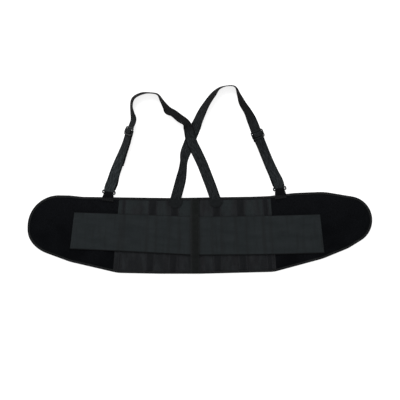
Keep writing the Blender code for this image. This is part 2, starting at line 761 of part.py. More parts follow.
def build_ring(side, carrier, plastic):
    """The rectangular ring that the strap and the tab both pass through."""
    half_width = STRAP_WIDTH / 2 + WEBBING_PLAY
    hole = rounded(box_corners(half_width, RING_OPENING / 2), [RING_EDGE] * 4, CORNER_TURN, closed=True)
    outer = box_corners(half_width + RING_BAR, RING_OPENING / 2 + RING_BAR)
    outer = rounded(outer, [RING_CORNER] * 4, PLATE_TURN, closed=True)
    ring = moulded_plate(side.name + "_ring", outer, [hole], RING_BAR, RING_EDGE, plastic)
    run = fitting_runs(side, carrier)[1]
    ring.matrix_world = carrier.placing(run + RING_SPACING / 2, -PLY / 2)


def build_ring_tab(side, outline, cloth):
    """The fabric loop round the ring's lower bar, its two plies sewn on the belt's top edge."""
    bar = ring_lower_bar(side, outline)
    down = ring_heading(side)
    edge = side.tab_reach / math.cos(math.radians(side.ring_lean))
    end = edge + TAB_SEAT
    lower = BINDING_TOP + CLEARANCE + TAB_THICKNESS / 2
    upper = lower + TAB_THICKNESS + CLEARANCE
    corners = [
        (end, upper), (edge - TAB_WRAP, upper), (0, RING_LEVEL + TAB_WRAP), (-TAB_WRAP, RING_LEVEL + TAB_WRAP),
        (-TAB_WRAP, RING_LEVEL - TAB_WRAP), (TAB_WRAP / 2, RING_LEVEL - TAB_WRAP), (edge - TAB_WRAP, lower),
        (end, lower),
    ]
    path = rounded([Vector(corner) for corner in corners], [TAB_WRAP] * len(corners), BEND_TURN)
    right = Vector((down.y, -down.x, 0))
    rows = []
    for run, height in path:
        flare = min(max(run / edge, 0), 1)
        half = (TAB_WIDTH + (TAB_FLARE - TAB_WIDTH) * flare) / 2
        middle = Vector((bar.x + down.x * run, bar.y + down.y * run, height))
        rows.append([middle + right * half, middle - right * half])
    sheet(side.name + "_ring_tab", rows, TAB_THICKNESS, cloth)


def build_strap_patch(side, outline, cloth):
    """The half-round patch sewn over the strap's end, dished down round its rim."""
    seat = strap_knots(side, outline)[0].point
    anchor = Vector((side.anchor_x, edge_height(outline, side.anchor_x, True)))
    middle = seat.lerp(anchor, 0.5)
    straight = anchor.y - PATCH_DROP
    rim_level = SEAT_LEVEL
    dish_level = SEAT_LEVEL + STRAP_THICKNESS + CLEARANCE
    rings = []
    for narrowing, level in ((0, rim_level), (PATCH_RIM, dish_level)):
        across = PATCH_WIDTH / 2 - narrowing
        depth = PATCH_DEPTH - narrowing
        ring = []
        for step in range(PATCH_STEPS + 1):
            angle = math.pi * step / PATCH_STEPS
            ring.append((middle.x - across * math.cos(angle), straight - depth * math.sin(angle), level))
        rings.append(ring)
    mesh = bpy.data.meshes.new(side.name + "_strap_patch")
    count = PATCH_STEPS + 1
    faces = [(i, i + 1, count + i + 1, count + i) for i in range(PATCH_STEPS)]
    faces.append(tuple(range(count, 2 * count)))
    mesh.from_pydata(rings[0] + rings[1], [], faces)
    patch = add_object(side.name + "_strap_patch", mesh, cloth)
    wall = patch.modifiers.new("cloth thickness", "SOLIDIFY")
    wall.thickness = PATCH_THICKNESS
    wall.offset = 1
    wall.use_even_offset = True


def crossing_lift(under):
    """How far a strap is lifted where it passes over another one."""
    climb = STRAP_THICKNESS + CLEARANCE + CROSSING_SLACK

    def lift(point):
        distance = min((point - other.xy).length for other in under.points)
        return climb * eased((CROSSING_FAR - distance) / (CROSSING_FAR - CROSSING_NEAR))

    return lift


def stand_on_origin():
    """Move every piece so that the middle of the whole box stands on the origin."""
    bpy.context.view_layer.update()
    graph = bpy.context.evaluated_depsgraph_get()
    points = []
    for piece in bpy.data.objects:
        evaluated = piece.evaluated_get(graph)
        points.extend(evaluated.matrix_world @ vertex.co for vertex in evaluated.data.vertices)
    low = [min(point[axis] for point in points) for axis in range(3)]
    high = [max(point[axis] for point in points) for axis in range(3)]
    shift = Vector(((low[0] + high[0]) / 2, (low[1] + high[1]) / 2, low[2]))
    for piece in bpy.data.objects:
        piece.location -= shift


def main():
    for old in list(bpy.data.objects):
        bpy.data.objects.remove(old, do_unlink=True)

    mesh_cloth = finish("mesh elastic", (0.020, 0.022, 0.024), 0.85)
    pile_cloth = finish("loop pile", (0.004, 0.004, 0.005), 0.95)
    channel_cloth = finish("stay channel cloth", (0.009, 0.010, 0.011), 0.85)
    tape_cloth = finish("binding tape", (0.012, 0.012, 0.013), 0.80)
    elastic = finish("band elastic", (0.019, 0.022, 0.023), 0.80)
    webbing = finish("strap webbing", (0.022, 0.026, 0.030), 0.75)
    plastic = finish("moulded plastic", (0.006, 0.006, 0.007), 0.25)

    outline = belt_outline()
    build_panels(outline, mesh_cloth, pile_cloth)
    build_binding(outline, tape_cloth)
    build_stays(outline, channel_cloth)
    build_band(elastic)
    build_centre_strip(outline, tape_cloth)

    under = None
    for side in (RIGHT_SIDE, LEFT_SIDE):
        knots = strap_knots(side, outline)
        carrier = Carrier(knots, side.turn, crossing_lift(under) if under else None)
        build_strap(side, carrier, webbing)
        build_strap_patch(side, outline, tape_cloth)
        build_slider(side, carrier, plastic)
        build_ring(side, carrier, plastic)
        build_ring_tab(side, outline, tape_cloth)
        under = carrier
    stand_on_origin()


main()
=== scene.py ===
# %% [markdown]
# # A work back support belt, finished piece by piece
#
# The belt lies flat with its outer face up: a mesh back panel with sewn stay channels, two dark pile
# end panels, a taped edge, a wide elastic band across it and two webbing shoulder straps with their
# sliders and rings. The plain solids already hold every size. This lesson gives them their cloth,
# stitching and moulded plastic, one piece at a time, in the same frame as the solids.

# %% The frame
import math
from bisect import bisect_right
from collections import namedtuple

import bmesh
import bpy
from mathutils import Matrix, Vector
from mathutils.noise import noise as drift_noise


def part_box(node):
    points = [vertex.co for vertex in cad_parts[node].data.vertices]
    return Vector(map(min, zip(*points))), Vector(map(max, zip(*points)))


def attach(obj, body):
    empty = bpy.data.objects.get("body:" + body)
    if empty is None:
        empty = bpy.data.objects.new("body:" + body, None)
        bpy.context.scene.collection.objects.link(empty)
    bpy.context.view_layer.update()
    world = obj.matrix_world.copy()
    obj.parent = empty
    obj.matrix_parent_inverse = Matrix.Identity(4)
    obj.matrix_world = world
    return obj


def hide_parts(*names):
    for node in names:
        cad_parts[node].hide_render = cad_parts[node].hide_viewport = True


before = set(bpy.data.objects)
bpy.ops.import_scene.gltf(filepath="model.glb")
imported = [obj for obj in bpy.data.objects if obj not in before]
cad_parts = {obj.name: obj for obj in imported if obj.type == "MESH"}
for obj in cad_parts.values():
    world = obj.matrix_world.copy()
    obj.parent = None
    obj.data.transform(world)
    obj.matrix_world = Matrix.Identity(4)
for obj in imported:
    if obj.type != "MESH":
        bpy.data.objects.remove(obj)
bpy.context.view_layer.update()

# %% [markdown]
# ## Where the belt lies and how its layers stack
#
# Every piece is drawn from the middle of the belt's top edge, as a pattern cutter would mark it, and is
# moved to its place in its own mesh at the end. The layers lie on each other with a hair of air between
# them, so no cloth cuts into another: panels, then the tape and stay channels, then the band, the strip
# and the straps.

# %% Sizes of the belt and its layers
BELT_LENGTH = 1.027
BELT_HEIGHT = 0.229
AIR = 0.0003
PANEL_THICKNESS = 0.0025
TAPE_THICKNESS = 0.001
STAY_THICKNESS = 0.0015
BAND_THICKNESS = 0.0018
PANEL_LOW = TAPE_THICKNESS + AIR
PANEL_TOP = PANEL_LOW + PANEL_THICKNESS
TAPE_TOP = PANEL_TOP + AIR + TAPE_THICKNESS
SEAT_LEVEL = PANEL_TOP + AIR + STAY_THICKNESS + AIR
BAND_TOP = SEAT_LEVEL + BAND_THICKNESS
ORIGIN = Vector((0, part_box("edge_binding")[0].y + BELT_HEIGHT, 0))
UP = Vector((0, 0, 1))
print("belt", BELT_LENGTH, "by", BELT_HEIGHT, "drawn from", tuple(ORIGIN))

# %% [markdown]
# ## The camera and the studio
#
# The belt was laid on a white table and seen from straight above through a long lens, so nothing in it
# gets smaller with distance. A camera eight metres up does the same. The light is a wide, even white
# dome, with one large soft lamp beyond the shoulder loops, so that the band's lower edge and the folds
# get a dark line. The table glows a little, as a lit white sweep does, and stays white below the straps.

# %% Camera
METRES_PER_PIXEL = 0.00298
PICTURE_WIDTH = 400
CAMERA_HEIGHT = 8.0
SENSOR = 36.0
VIEW_MIDDLE = Vector((0.00045, -0.0600))

camera_data = bpy.data.cameras.new("long lens")
camera_data.sensor_width = SENSOR
camera_data.lens = SENSOR * CAMERA_HEIGHT / (METRES_PER_PIXEL * PICTURE_WIDTH)
camera_data.clip_end = 40
camera = bpy.data.objects.new("camera", camera_data)
camera.location = (VIEW_MIDDLE.x, VIEW_MIDDLE.y, CAMERA_HEIGHT)
bpy.context.scene.collection.objects.link(camera)
bpy.context.scene.camera = camera
print("lens", round(camera_data.lens, 1), "mm")

# %% Light and floor
scene = bpy.context.scene
scene.view_settings.view_transform = "Standard"
scene.view_settings.look = "None"
scene.world = bpy.data.worlds.new("white dome")
scene.world.use_nodes = True
dome = scene.world.node_tree.nodes["Background"]
dome.inputs["Color"].default_value = (1.0, 1.0, 1.0, 1.0)
dome.inputs["Strength"].default_value = 0.76


def add_lamp(name, place, target, size, power):
    """A square soft lamp that points at a place."""
    data = bpy.data.lights.new(name, "AREA")
    data.shape = "SQUARE"
    data.size = size
    data.energy = power
    lamp = bpy.data.objects.new(name, data)
    lamp.location = place
    lamp.rotation_euler = (Vector(target) - Vector(place)).to_track_quat("-Z", "Y").to_euler()
    bpy.context.scene.collection.objects.link(lamp)


add_lamp("key lamp", (-0.7, 1.9, 1.9), (0, -0.05, 0), 1.3, 52)

floor_mesh = bpy.data.meshes.new("table")
floor_mesh.from_pydata([(-4, -4, 0), (4, -4, 0), (4, 4, 0), (-4, 4, 0)], [], [(0, 1, 2, 3)])
floor = bpy.data.objects.new("table", floor_mesh)
bpy.context.scene.collection.objects.link(floor)
floor_finish = bpy.data.materials.new("white table")
floor_finish.use_nodes = True
floor_shader = floor_finish.node_tree.nodes["Principled BSDF"]
floor_shader.inputs["Base Color"].default_value = (0.50, 0.50, 0.50, 1.0)
floor_shader.inputs["Emission Color"].default_value = (1.0, 1.0, 1.0, 1.0)
floor_shader.inputs["Emission Strength"].default_value = 0.72
floor_shader.inputs["Roughness"].default_value = 1.0
floor_shader.inputs["Specular IOR Level"].default_value = 0.0
floor_mesh.materials.append(floor_finish)
print("floor and lamps ready")

# %% [markdown]
# ## A small kit for cloth finishes
#
# Cloth gets its look from a few things at once: the pattern of its threads, soft patches where it was
# handled, and the tiny relief that breaks up the light. Each finish below is built from the same few
# node steps: ribs, mottling, a colour between a dark and a light one, and a relief.

# %% Node steps that every finish uses
def add_step(finish, kind, inputs=(), **settings):
    """Add one node. Inputs are pairs of a socket's name or number and a value or another socket."""
    node = finish.node_tree.nodes.new(kind)
    for key, value in settings.items():
        setattr(node, key, value)
    for key, value in inputs:
        if isinstance(value, bpy.types.NodeSocket):
            finish.node_tree.links.new(value, node.inputs[key])
        else:
            node.inputs[key].default_value = value
    return node


def new_finish(name, roughness, gloss, sheen=0.0):
    """A finish whose even values are set on the shader's own sockets."""
    finish = bpy.data.materials.new(name)
    finish.use_nodes = True
    shader = finish.node_tree.nodes["Principled BSDF"]
    shader.inputs["Roughness"].default_value = roughness
    shader.inputs["Specular IOR Level"].default_value = gloss
    shader.inputs["Sheen Weight"].default_value = sheen
    shader.inputs["Sheen Roughness"].default_value = 0.6
    return finish


def cloth_place(finish):
    """Places along and across the cloth in metres, from the piece's own map."""
    return add_step(finish, "ShaderNodeUVMap", uv_map="cloth").outputs["UV"]


def table_place(finish, turn=0):
    """Places on the flat belt in metres, turned by an angle in degrees."""
    place = add_step(finish, "ShaderNodeTexCoord").outputs["Object"]
    turned = [("Vector", place), ("Rotation", (0, 0, math.radians(turn)))]
    return add_step(finish, "ShaderNodeMapping", turned).outputs["Vector"]


def ribs(finish, place, axis, pitch, waver=0.0):
    """Even ribs along one axis, from 0 in the grooves to 1 on the crests."""
    inputs = [("Vector", place), ("Scale", math.pi / 10 / pitch), ("Distortion", waver)]
    return add_step(finish, "ShaderNodeTexWave", inputs, bands_direction=axis).outputs["Fac"]


def mottle(finish, place, size, detail=2.0):
    """Soft patches of about one size, from 0 to 1."""
    inputs = [("Vector", place), ("Scale", 1 / size), ("Detail", detail)]
    return add_step(finish, "ShaderNodeTexNoise", inputs).outputs["Fac"]


def stretched(finish, place, scale):
    """A place map stretched by a factor on each axis."""
    return add_step(finish, "ShaderNodeMapping", [("Vector", place), ("Scale", scale)]).outputs["Vector"]


def combine(finish, operation, first, second):
    """Two values joined by one step of arithmetic."""
    node = add_step(finish, "ShaderNodeMath", [(0, first), (1, second)], operation=operation)
    return node.outputs["Value"]


def spread(finish, value, low, high):
    """A value stretched so that low becomes 0 and high becomes 1, and held there."""
    inputs = [("Value", value), ("From Min", low), ("From Max", high)]
    return add_step(finish, "ShaderNodeMapRange", inputs, clamp=True).outputs["Result"]


def between_colours(finish, amount, dark, light):
    """A colour between two, each a colour or another socket."""
    mix = add_step(finish, "ShaderNodeMix", data_type="RGBA")
    for number, value in ((0, amount), (6, dark), (7, light)):
        if isinstance(value, bpy.types.NodeSocket):
            finish.node_tree.links.new(value, mix.inputs[number])
        elif number:
            mix.inputs[number].default_value = (*value, 1.0)
        else:
            mix.inputs[number].default_value = value
    return mix.outputs[2]


def set_colour(finish, colour):
    """Give the finish its colour."""
    shader = finish.node_tree.nodes["Principled BSDF"]
    finish.node_tree.links.new(colour, shader.inputs["Base Color"])


def set_relief(finish, *layers):
    """Give the finish a relief from pairs of a height and its depth in metres."""
    normal = None
    for height, depth in layers:
        bump = add_step(finish, "ShaderNodeBump", [("Height", height), ("Distance", depth)])
        if normal:
            finish.node_tree.links.new(normal, bump.inputs["Normal"])
        normal = bump.outputs["Normal"]
    shader = finish.node_tree.nodes["Principled BSDF"]
    finish.node_tree.links.new(normal, shader.inputs["Normal"])


print("finish kit ready")

# %% [markdown]
# ## A small kit for cloth shapes
#
# Nearly every piece here is a long flat cloth, so it can be lofted: a ring of points round its cut edge
# is repeated along its course and joined with four-sided faces. Two pieces, the panels, are wide and
# have an odd outline, so they are cut as a flat sheet with a fine grid of faces that can swell and dip.

# %% Lofted cloth
def finish_piece(name, mesh, finish, node):
    """Put a finished mesh in the scene in place of its plain solid."""
    mesh.transform(Matrix.Translation(ORIGIN))
    mesh.materials.append(finish)
    mesh.shade_smooth()
    piece = bpy.data.objects.new(name, mesh)
    bpy.context.scene.collection.objects.link(piece)
    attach(piece, "root")
    if node:
        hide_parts(node)
    return piece


def loft(name, rings, runs, widths, closed=False):
    """Join rings of points along a course. Runs and widths give the cloth's own map in metres."""
    mesh = bpy.data.meshes.new(name)
    size = len(rings[0])
    faces = []
    maps = []
    last = len(rings) if closed else len(rings) - 1
    for i in range(last):
        after = (i + 1) % len(rings)
        for j in range(size):
            beside = (j + 1) % size
            faces.append((i * size + j, i * size + beside, after * size + beside, after * size + j))
            across = widths[j + 1]
            ahead = runs[i + 1]
            maps.extend([(runs[i], widths[j]), (runs[i], across), (ahead, across), (ahead, widths[j])])
    if not closed:
        for i, order in ((0, range(size - 1, -1, -1)), (len(rings) - 1, range(size))):
            faces.append(tuple(i * size + j for j in order))
            maps.extend((runs[i], widths[j]) for j in order)
    mesh.from_pydata([point for ring in rings for point in ring], [], faces)
    layer = mesh.uv_layers.new(name="cloth")
    for corner, place in zip(layer.data, maps):
        corner.uv = place
    return faced_outwards(mesh)


def faced_outwards(mesh):
    """Turn every face of a closed mesh outwards."""
    bm = bmesh.new()
    bm.from_mesh(mesh)
    bmesh.ops.recalc_face_normals(bm, faces=list(bm.faces))
    bm.to_mesh(mesh)
    bm.free()
    return mesh


def across_shares(columns, half_width, half_thickness):
    """Shares from edge to edge, close together at the two rounded edges."""
    edge = half_thickness / half_width
    inner = [(-1 + edge) + (2 - 2 * edge) * j / columns for j in range(columns + 1)]
    return [-1, -1 + edge * 0.3] + inner + [1 - edge * 0.3, 1]


def cloth_ring(middle, across, face, half_width, half_thickness, shares, relief=None):
    """A ring round a flat cloth: over its face from edge to edge, then back below it."""
    edge = half_thickness / half_width
    over = []
    under = []
    for share in shares:
        beyond = max(abs(share) - (1 - edge), 0) / edge
        half = half_thickness * math.sqrt(max(1 - beyond * beyond, 0))
        base = middle + across * (share * half_width)
        raised = relief(share) if relief else 0
        over.append(base + face * (half + raised))
        under.append(base - face * (half - raised))
    return over + under[-2:0:-1]


def ring_widths(shares, half_width):
    """The cloth's own map across a ring: edge to edge over the face, and on round the back."""
    front = [(share + 1) * half_width for share in shares]
    back = [4 * half_width - (shares[j] + 1) * half_width for j in range(len(shares) - 2, 0, -1)]
    return front + back + [4 * half_width]


def mark_points(mesh, name, value):
    """Store a value from 0 to 1 at each point of a mesh, for its finish to read."""
    marks = mesh.attributes.new(name, "FLOAT", "POINT")
    for mark, vertex in zip(marks.data, mesh.vertices):
        mark.value = value(vertex.co.x, vertex.co.y)


def eased(share):
    """A share from 0 to 1 that starts and stops gently."""
    share = min(max(share, 0), 1)
    return share * share * (3 - 2 * share)


print("shape kit ready")

# %% [markdown]
# ## The outline of the belt
#
# The belt is cut from a pattern with straight runs and round corners, long and low at the top and
# falling away to two round tips. A short table of corners and their radii draws it. The same outline
# serves the panels, the tape round them and the rows of stitches.

# %% Outline from its corners
# Anticlockwise from the left tip. Along is a share of BELT_LENGTH from the middle, drop a share of
# BELT_HEIGHT below the top edge, and round a radius as a share of BELT_HEIGHT.
Corner = namedtuple("Corner", "along drop round")
BELT_CORNERS = [
    Corner(-0.500, 0.521, 0.300), Corner(-0.470, 0.690, 0.450), Corner(-0.377, 0.844, 0.520),
    Corner(-0.238, 0.989, 0.520), Corner(-0.116, 1.000, 0.780), Corner(0.000, 1.000, 0.780),
    Corner(0.215, 0.975, 0.390), Corner(0.357, 0.803, 0.780), Corner(0.431, 0.667, 0.520),
    Corner(0.500, 0.475, 0.310), Corner(0.500, 0.036, 0.310), Corner(0.360, -0.068, 0.780),
    Corner(0.273, -0.052, 0.520), Corner(0.200, -0.012, 0.520), Corner(0.151, -0.004, 0.780),
    Corner(-0.087, 0.013, 0.780), Corner(-0.220, 0.005, 0.780), Corner(-0.340, -0.002, 0.390),
    Corner(-0.377, -0.020, 0.390), Corner(-0.500, -0.030, 0.410),
]
ARC_STEP = 3
TAPE_STEP = 0.003
MERGE = 1e-6


def rounded(corners, radii, turn_step, closed=False):
    """Round each corner of a flat path with an arc, and return the path's points."""
    count = len(corners)
    last = count if closed else count - 1
    edges = [corners[(i + 1) % count] - corners[i] for i in range(last)]
    turns = [0.0] * count
    reaches = [0.0] * count
    for i in range(0 if closed else 1, last):
        turns[i] = edges[i - 1].angle_signed(edges[i])
        reaches[i] = radii[i] * math.tan(abs(turns[i]) / 2)
    shares = [1.0] * count
    for i, edge in enumerate(edges):
        after = (i + 1) % count
        needed = reaches[i] + reaches[after]
        if needed > edge.length:
            shares[i] = min(shares[i], edge.length / needed)
            shares[after] = min(shares[after], edge.length / needed)
    points = []
    for i, corner in enumerate(corners):
        reach = reaches[i] * shares[i]
        if reach == 0.0:
            points.append(corner.copy())
            continue
        heading = edges[i - 1].normalized()
        side = Vector((-heading.y, heading.x)) * (-1 if turns[i] > 0 else 1)
        radius = reach / math.tan(abs(turns[i]) / 2)
        start = corner - heading * reach
        steps = max(1, math.ceil(abs(math.degrees(turns[i])) / turn_step))
        for step in range(steps + 1):
            angle = abs(turns[i]) * step / steps
            points.append(start + heading * radius * math.sin(angle) + side * radius * (1 - math.cos(angle)))
    kept = [point for i, point in enumerate(points) if i == 0 or (point - points[i - 1]).length > MERGE]
    if closed and (kept[0] - kept[-1]).length <= MERGE:
        kept.pop()
    return kept


def evenly(loop, longest, closed=True):
    """Points at equal steps along a path."""
    path = loop + [loop[0]] if closed else loop
    runs = [0.0]
    for before, after in zip(path, path[1:]):
        runs.append(runs[-1] + (after - before).length)
    steps = max(2, round(runs[-1] / longest))
    points = []
    for step in range(steps if closed else steps + 1):
        run = runs[-1] * step / steps
        i = min(max(bisect_right(runs, run) - 1, 0), len(path) - 2)
        points.append(path[i].lerp(path[i + 1], (run - runs[i]) / (runs[i + 1] - runs[i])))
    return points


def inset(loop, distance):
    """Move an anticlockwise loop inwards by a distance."""
    moved = []
    for i, point in enumerate(loop):
        before = (point - loop[i - 1]).normalized()
        after = (loop[(i + 1) % len(loop)] - point).normalized()
        left_before = Vector((-before.y, before.x))
        left_after = Vector((-after.y, after.x))
        moved.append(point + (left_before + left_after) * (distance / (1 + left_before.dot(left_after))))
    return moved


def edge_height(x, top):
    """Where the outline crosses an upright line."""
    crossings = []
    for i, end in enumerate(outline):
        start = outline[i - 1]
        if min(start.x, end.x) <= x < max(start.x, end.x):
            crossings.append(start.y + (end.y - start.y) * (x - start.x) / (end.x - start.x))
    return max(crossings) if top else min(crossings)


outline_corners = [Vector((row.along * BELT_LENGTH, -row.drop * BELT_HEIGHT)) for row in BELT_CORNERS]
outline_radii = [row.round * BELT_HEIGHT for row in BELT_CORNERS]
outline = evenly(rounded(outline_corners, outline_radii, ARC_STEP, closed=True), TAPE_STEP)
outline_length = sum((point - outline[i - 1]).length for i, point in enumerate(outline))
print("outline", len(outline), "points,", round(outline_length, 3), "m round")

# %% [markdown]
# ## The panels
#
# The back panel is a stretch mesh, open enough to breathe, and lighter than the rest. The two end panels
# are faced with a black loop pile that the hook tabs grip, over a thin foam. All three are cut from one
# outline. Each is made as a flat sheet, cut into a fine grid, given its thickness and then raised and
# dipped point by point. A short cloth simulation then blows a little air into each end panel, which is
# held down by the tape, the band and one sewn line. The panels are thin, so they keep their grid: a voxel
# remesh would close up walls this close together.

# %% Seams and the cutting of a panel
BACK_MIDDLE = -0.015
BACK_TOP_WIDTH = 0.450
BACK_BOTTOM_WIDTH = 0.489
GRID = 0.006
PANEL_INSET = 0.0013


def back_x(place, y):
    """A place on the back panel, which widens towards its bottom edge."""
    width = BACK_TOP_WIDTH - (BACK_BOTTOM_WIDTH - BACK_TOP_WIDTH) * y / BELT_HEIGHT
    return BACK_MIDDLE + place * width


def seam_line(side):
    """A point of the seam at one side of the back panel, and the direction away from that panel."""
    top = Vector((back_x(side * 0.5, 0), 0, 0))
    low = Vector((back_x(side * 0.5, -BELT_HEIGHT), -BELT_HEIGHT, 0))
    along = (low - top).normalized()
    return top, Vector((-along.y, along.x, 0)) * side


def cut_panel(name, cuts, swell):
    """A panel inside the tape, cut at its seams, with a fine grid of faces. Swell lifts its face."""
    bm = bmesh.new()
    bm.faces.new([bm.verts.new((p.x, p.y, PANEL_LOW)) for p in inset(outline, PANEL_INSET)[::2]])
    for point, waste in cuts:
        everything = list(bm.verts) + list(bm.edges) + list(bm.faces)
        bmesh.ops.bisect_plane(bm, geom=everything, plane_co=point, plane_no=waste, clear_outer=True)
    for axis in (0, 1):
        places = [vertex.co[axis] for vertex in bm.verts]
        line = math.ceil(min(places) / GRID) * GRID
        while line < max(places):
            place = Vector((line if axis == 0 else 0, line if axis == 1 else 0, 0))
            normal = Vector((1 - axis, axis, 0))
            everything = list(bm.verts) + list(bm.edges) + list(bm.faces)
            bmesh.ops.bisect_plane(bm, geom=everything, dist=1e-5, plane_co=place, plane_no=normal)
            line += GRID
    raised = bmesh.ops.extrude_face_region(bm, geom=list(bm.faces))["geom"]
    for vertex in raised:
        if isinstance(vertex, bmesh.types.BMVert):
            vertex.co.z = PANEL_TOP + swell(vertex.co.x, vertex.co.y)
    bmesh.ops.recalc_face_normals(bm, faces=list(bm.faces))
    mesh = bpy.data.meshes.new(name)
    bm.to_mesh(mesh)
    bm.free()
    return mesh


# %% The mesh back panel
def mesh_finish():
    """Grey stretch mesh: small holes between upright ribs, bluer at the top and duller below."""
    finish = new_finish("stretch mesh", 0.9, 0.04, 0.02)
    place = table_place(finish)
    upright = ribs(finish, place, "X", 0.0021)
    level = ribs(finish, place, "Y", 0.0026)
    holes = combine(finish, "MULTIPLY", upright, level)
    worn = mottle(finish, stretched(finish, place, (1, 0.35, 1)), 0.016, 4)
    warm = mottle(finish, stretched(finish, place, (1, 0.3, 1)), 0.040, 2)
    height = add_step(finish, "ShaderNodeSeparateXYZ", [("Vector", place)]).outputs["Y"]
    lower = spread(finish, height, -0.20, -0.10)
    colour = between_colours(finish, lower, (0.0158, 0.0176, 0.0196), (0.0270, 0.0350, 0.0366))
    colour = between_colours(finish, spread(finish, warm, 0.45, 0.65), colour, (0.0196, 0.0196, 0.0218))
    colour = between_colours(finish, spread(finish, worn, 0.4, 1.0), colour, (0.044, 0.050, 0.054))
    colour = between_colours(finish, spread(finish, holes, 0.0, 0.4), (0.0050, 0.0050, 0.0056), colour)
    set_colour(finish, colour)
    set_relief(finish, (worn, 0.0025), (holes, 0.0006))
    return finish


def back_swell(x, y):
    """The mesh panel puckers a little."""
    return 0.00025 * drift_noise(Vector((x * 38, y * 22, 3.1))) - 0.00020


seam_cuts = {side: seam_line(side) for side in (-1, 1)}
back_mesh = cut_panel("back_panel_mesh", list(seam_cuts.values()), back_swell)
back_panel = finish_piece("back_panel_mesh", back_mesh, mesh_finish(), "back_panel")

# %% The two pile end panels
# Where a line of stitches crosses each pile panel, from its top to its bottom end
PILE_LINES = {
    -1: (Vector((-0.3800, -0.007, 0)), Vector((-0.3930, -0.178, 0))),
    1: (Vector((0.4010, -0.003, 0)), Vector((0.4040, -0.150, 0))),
}
BAND_REACH = (-0.398, 0.380)
TAPE_HOLD = 0.0085
LINE_HOLD = 0.004
SKIN = 0.001
PILE_CROWN = 0.0013
AIR_PRESSURE = 4
CLOTH_FRAMES = 20


def pile_finish():
    """Black loop pile: short fuzzy loops that drink the light, brushed a little this way and that."""
    finish = new_finish("loop pile", 1.0, 0.01, 0.02)
    place = table_place(finish)
    loops = mottle(finish, place, 0.0011, 2)
    tufts = mottle(finish, place, 0.006, 3)
    brushed = mottle(finish, place, 0.06, 3)
    nap = spread(finish, brushed, 0.35, 0.75)
    colour = between_colours(finish, nap, (0.0024, 0.0029, 0.0039), (0.0070, 0.0080, 0.0098))
    height = add_step(finish, "ShaderNodeSeparateXYZ", [("Vector", place)]).outputs["Y"]
    colour = between_colours(finish, spread(finish, height, -0.15, -0.03), colour, (0.0082, 0.0090, 0.0110))
    colour = between_colours(finish, spread(finish, loops, 0.35, 0.75), (0.0008, 0.0009, 0.0012), colour)
    set_colour(finish, colour)
    set_relief(finish, (brushed, 0.003), (tufts, 0.0015), (loops, 0.0009))
    return finish


def end_swell(x, y):
    """The pile's face before it swells, with the faint dents of handling."""
    return 0.0002 * drift_noise(Vector((x * 30, y * 30, 5.5))) - 0.0001


def blow_up(mesh, line, most):
    """Swell a panel with a little air in a cloth simulation, lifted by no more than most."""
    blown = bpy.data.objects.new(mesh.name + "_blown", mesh)
    bpy.context.collection.objects.link(blown)
    pins = blown.vertex_groups.new(name="held")
    pins.add([vertex.index for vertex in mesh.vertices if is_held(vertex.co, line)], 1.0, "REPLACE")
    cloth = blown.modifiers.new("cloth", "CLOTH")
    cloth.settings.vertex_group_mass = "held"
    cloth.settings.effector_weights.gravity = 0
    cloth.settings.use_pressure = True
    cloth.settings.uniform_pressure_force = AIR_PRESSURE
    for moment in range(1, CLOTH_FRAMES + 1):
        bpy.context.scene.frame_set(moment)
    evaluated = blown.evaluated_get(bpy.context.evaluated_depsgraph_get())
    moves = [after.co - before.co for before, after in zip(mesh.vertices, evaluated.data.vertices)]
    share = min(1, most / max(move.length for move in moves))
    bpy.data.objects.remove(blown)
    bpy.context.scene.frame_set(1)
    for vertex, move in zip(mesh.vertices, moves):
        vertex.co += move * share
    print(mesh.name, "swollen by", round(max(move.length for move in moves) * share * 1000, 2), "mm")


def is_held(point, line):
    """True for the low skin and for what lies under the tape, near the band or on the sewn line."""
    flat = Vector((point.x, point.y, 0))
    start, end = line
    along = (end - start).normalized()
    off_line = (flat - start - along * (flat - start).dot(along)).length
    under_tape = min((flat.xy - place.xy).length for place in outline) < TAPE_HOLD
    beside_band = BAND_REACH[0] < point.x < BAND_REACH[1]
    return point.z < PANEL_TOP - SKIN or under_tape or beside_band or off_line < LINE_HOLD


pile = pile_finish()
for name, side in (("left_end_panel", -1), ("right_end_panel", 1)):
    point, away = seam_cuts[side]
    end_mesh = cut_panel(name + "_pile", [(point, -away)], end_swell)
    blow_up(end_mesh, PILE_LINES[side], PILE_CROWN)
    end_panel = finish_piece(name + "_pile", end_mesh, pile, name)
    print(name, len(end_mesh.polygons), "faces")

# %% [markdown]
# ## The tape round the edge
#
# A woven tape is folded over the raw edge of all the panels and sewn through. It shows as a thin line
# that is a little lighter than the pile, because its fold stands up and catches the light. Its folded
# cross-section is swept round the outline, and its width wavers by a fraction of a millimetre, as a tape
# fed by hand does.

# %% The folded tape
TAPE_WIDTH = 0.007
TAPE_HALF = TAPE_THICKNESS / 2
TAPE_FOLD = 0.0016
TAPE_WAVER = 0.0004


def tape_finish(name, dark, light):
    """Narrow woven tape with a fine rib across it, paler worn patches and paler parts that its piece marks.
    """
    finish = new_finish(name, 0.85, 0.05, 0.02)
    place = cloth_place(finish)
    rib = ribs(finish, place, "X", 0.0013)
    cord = ribs(finish, place, "Y", 0.0017)
    weave = combine(finish, "MULTIPLY", rib, cord)
    worn = mottle(finish, place, 0.012, 4)
    paler_share = add_step(finish, "ShaderNodeAttribute", attribute_name="paler_share").outputs["Fac"]
    colour = between_colours(finish, spread(finish, worn, 0.3, 0.75), dark, light)
    # This lightens the parts that a piece marks; on the centre strip that is the soft edge of painted shade.
    colour = between_colours(finish, paler_share, colour, (0.0185, 0.0196, 0.0205))
    grooves = tuple(part * 0.5 for part in dark)
    colour = between_colours(finish, spread(finish, weave, 0.0, 0.35), grooves, colour)
    set_colour(finish, colour)
    set_relief(finish, (worn, 0.0008), (weave, 0.0003))
    return finish


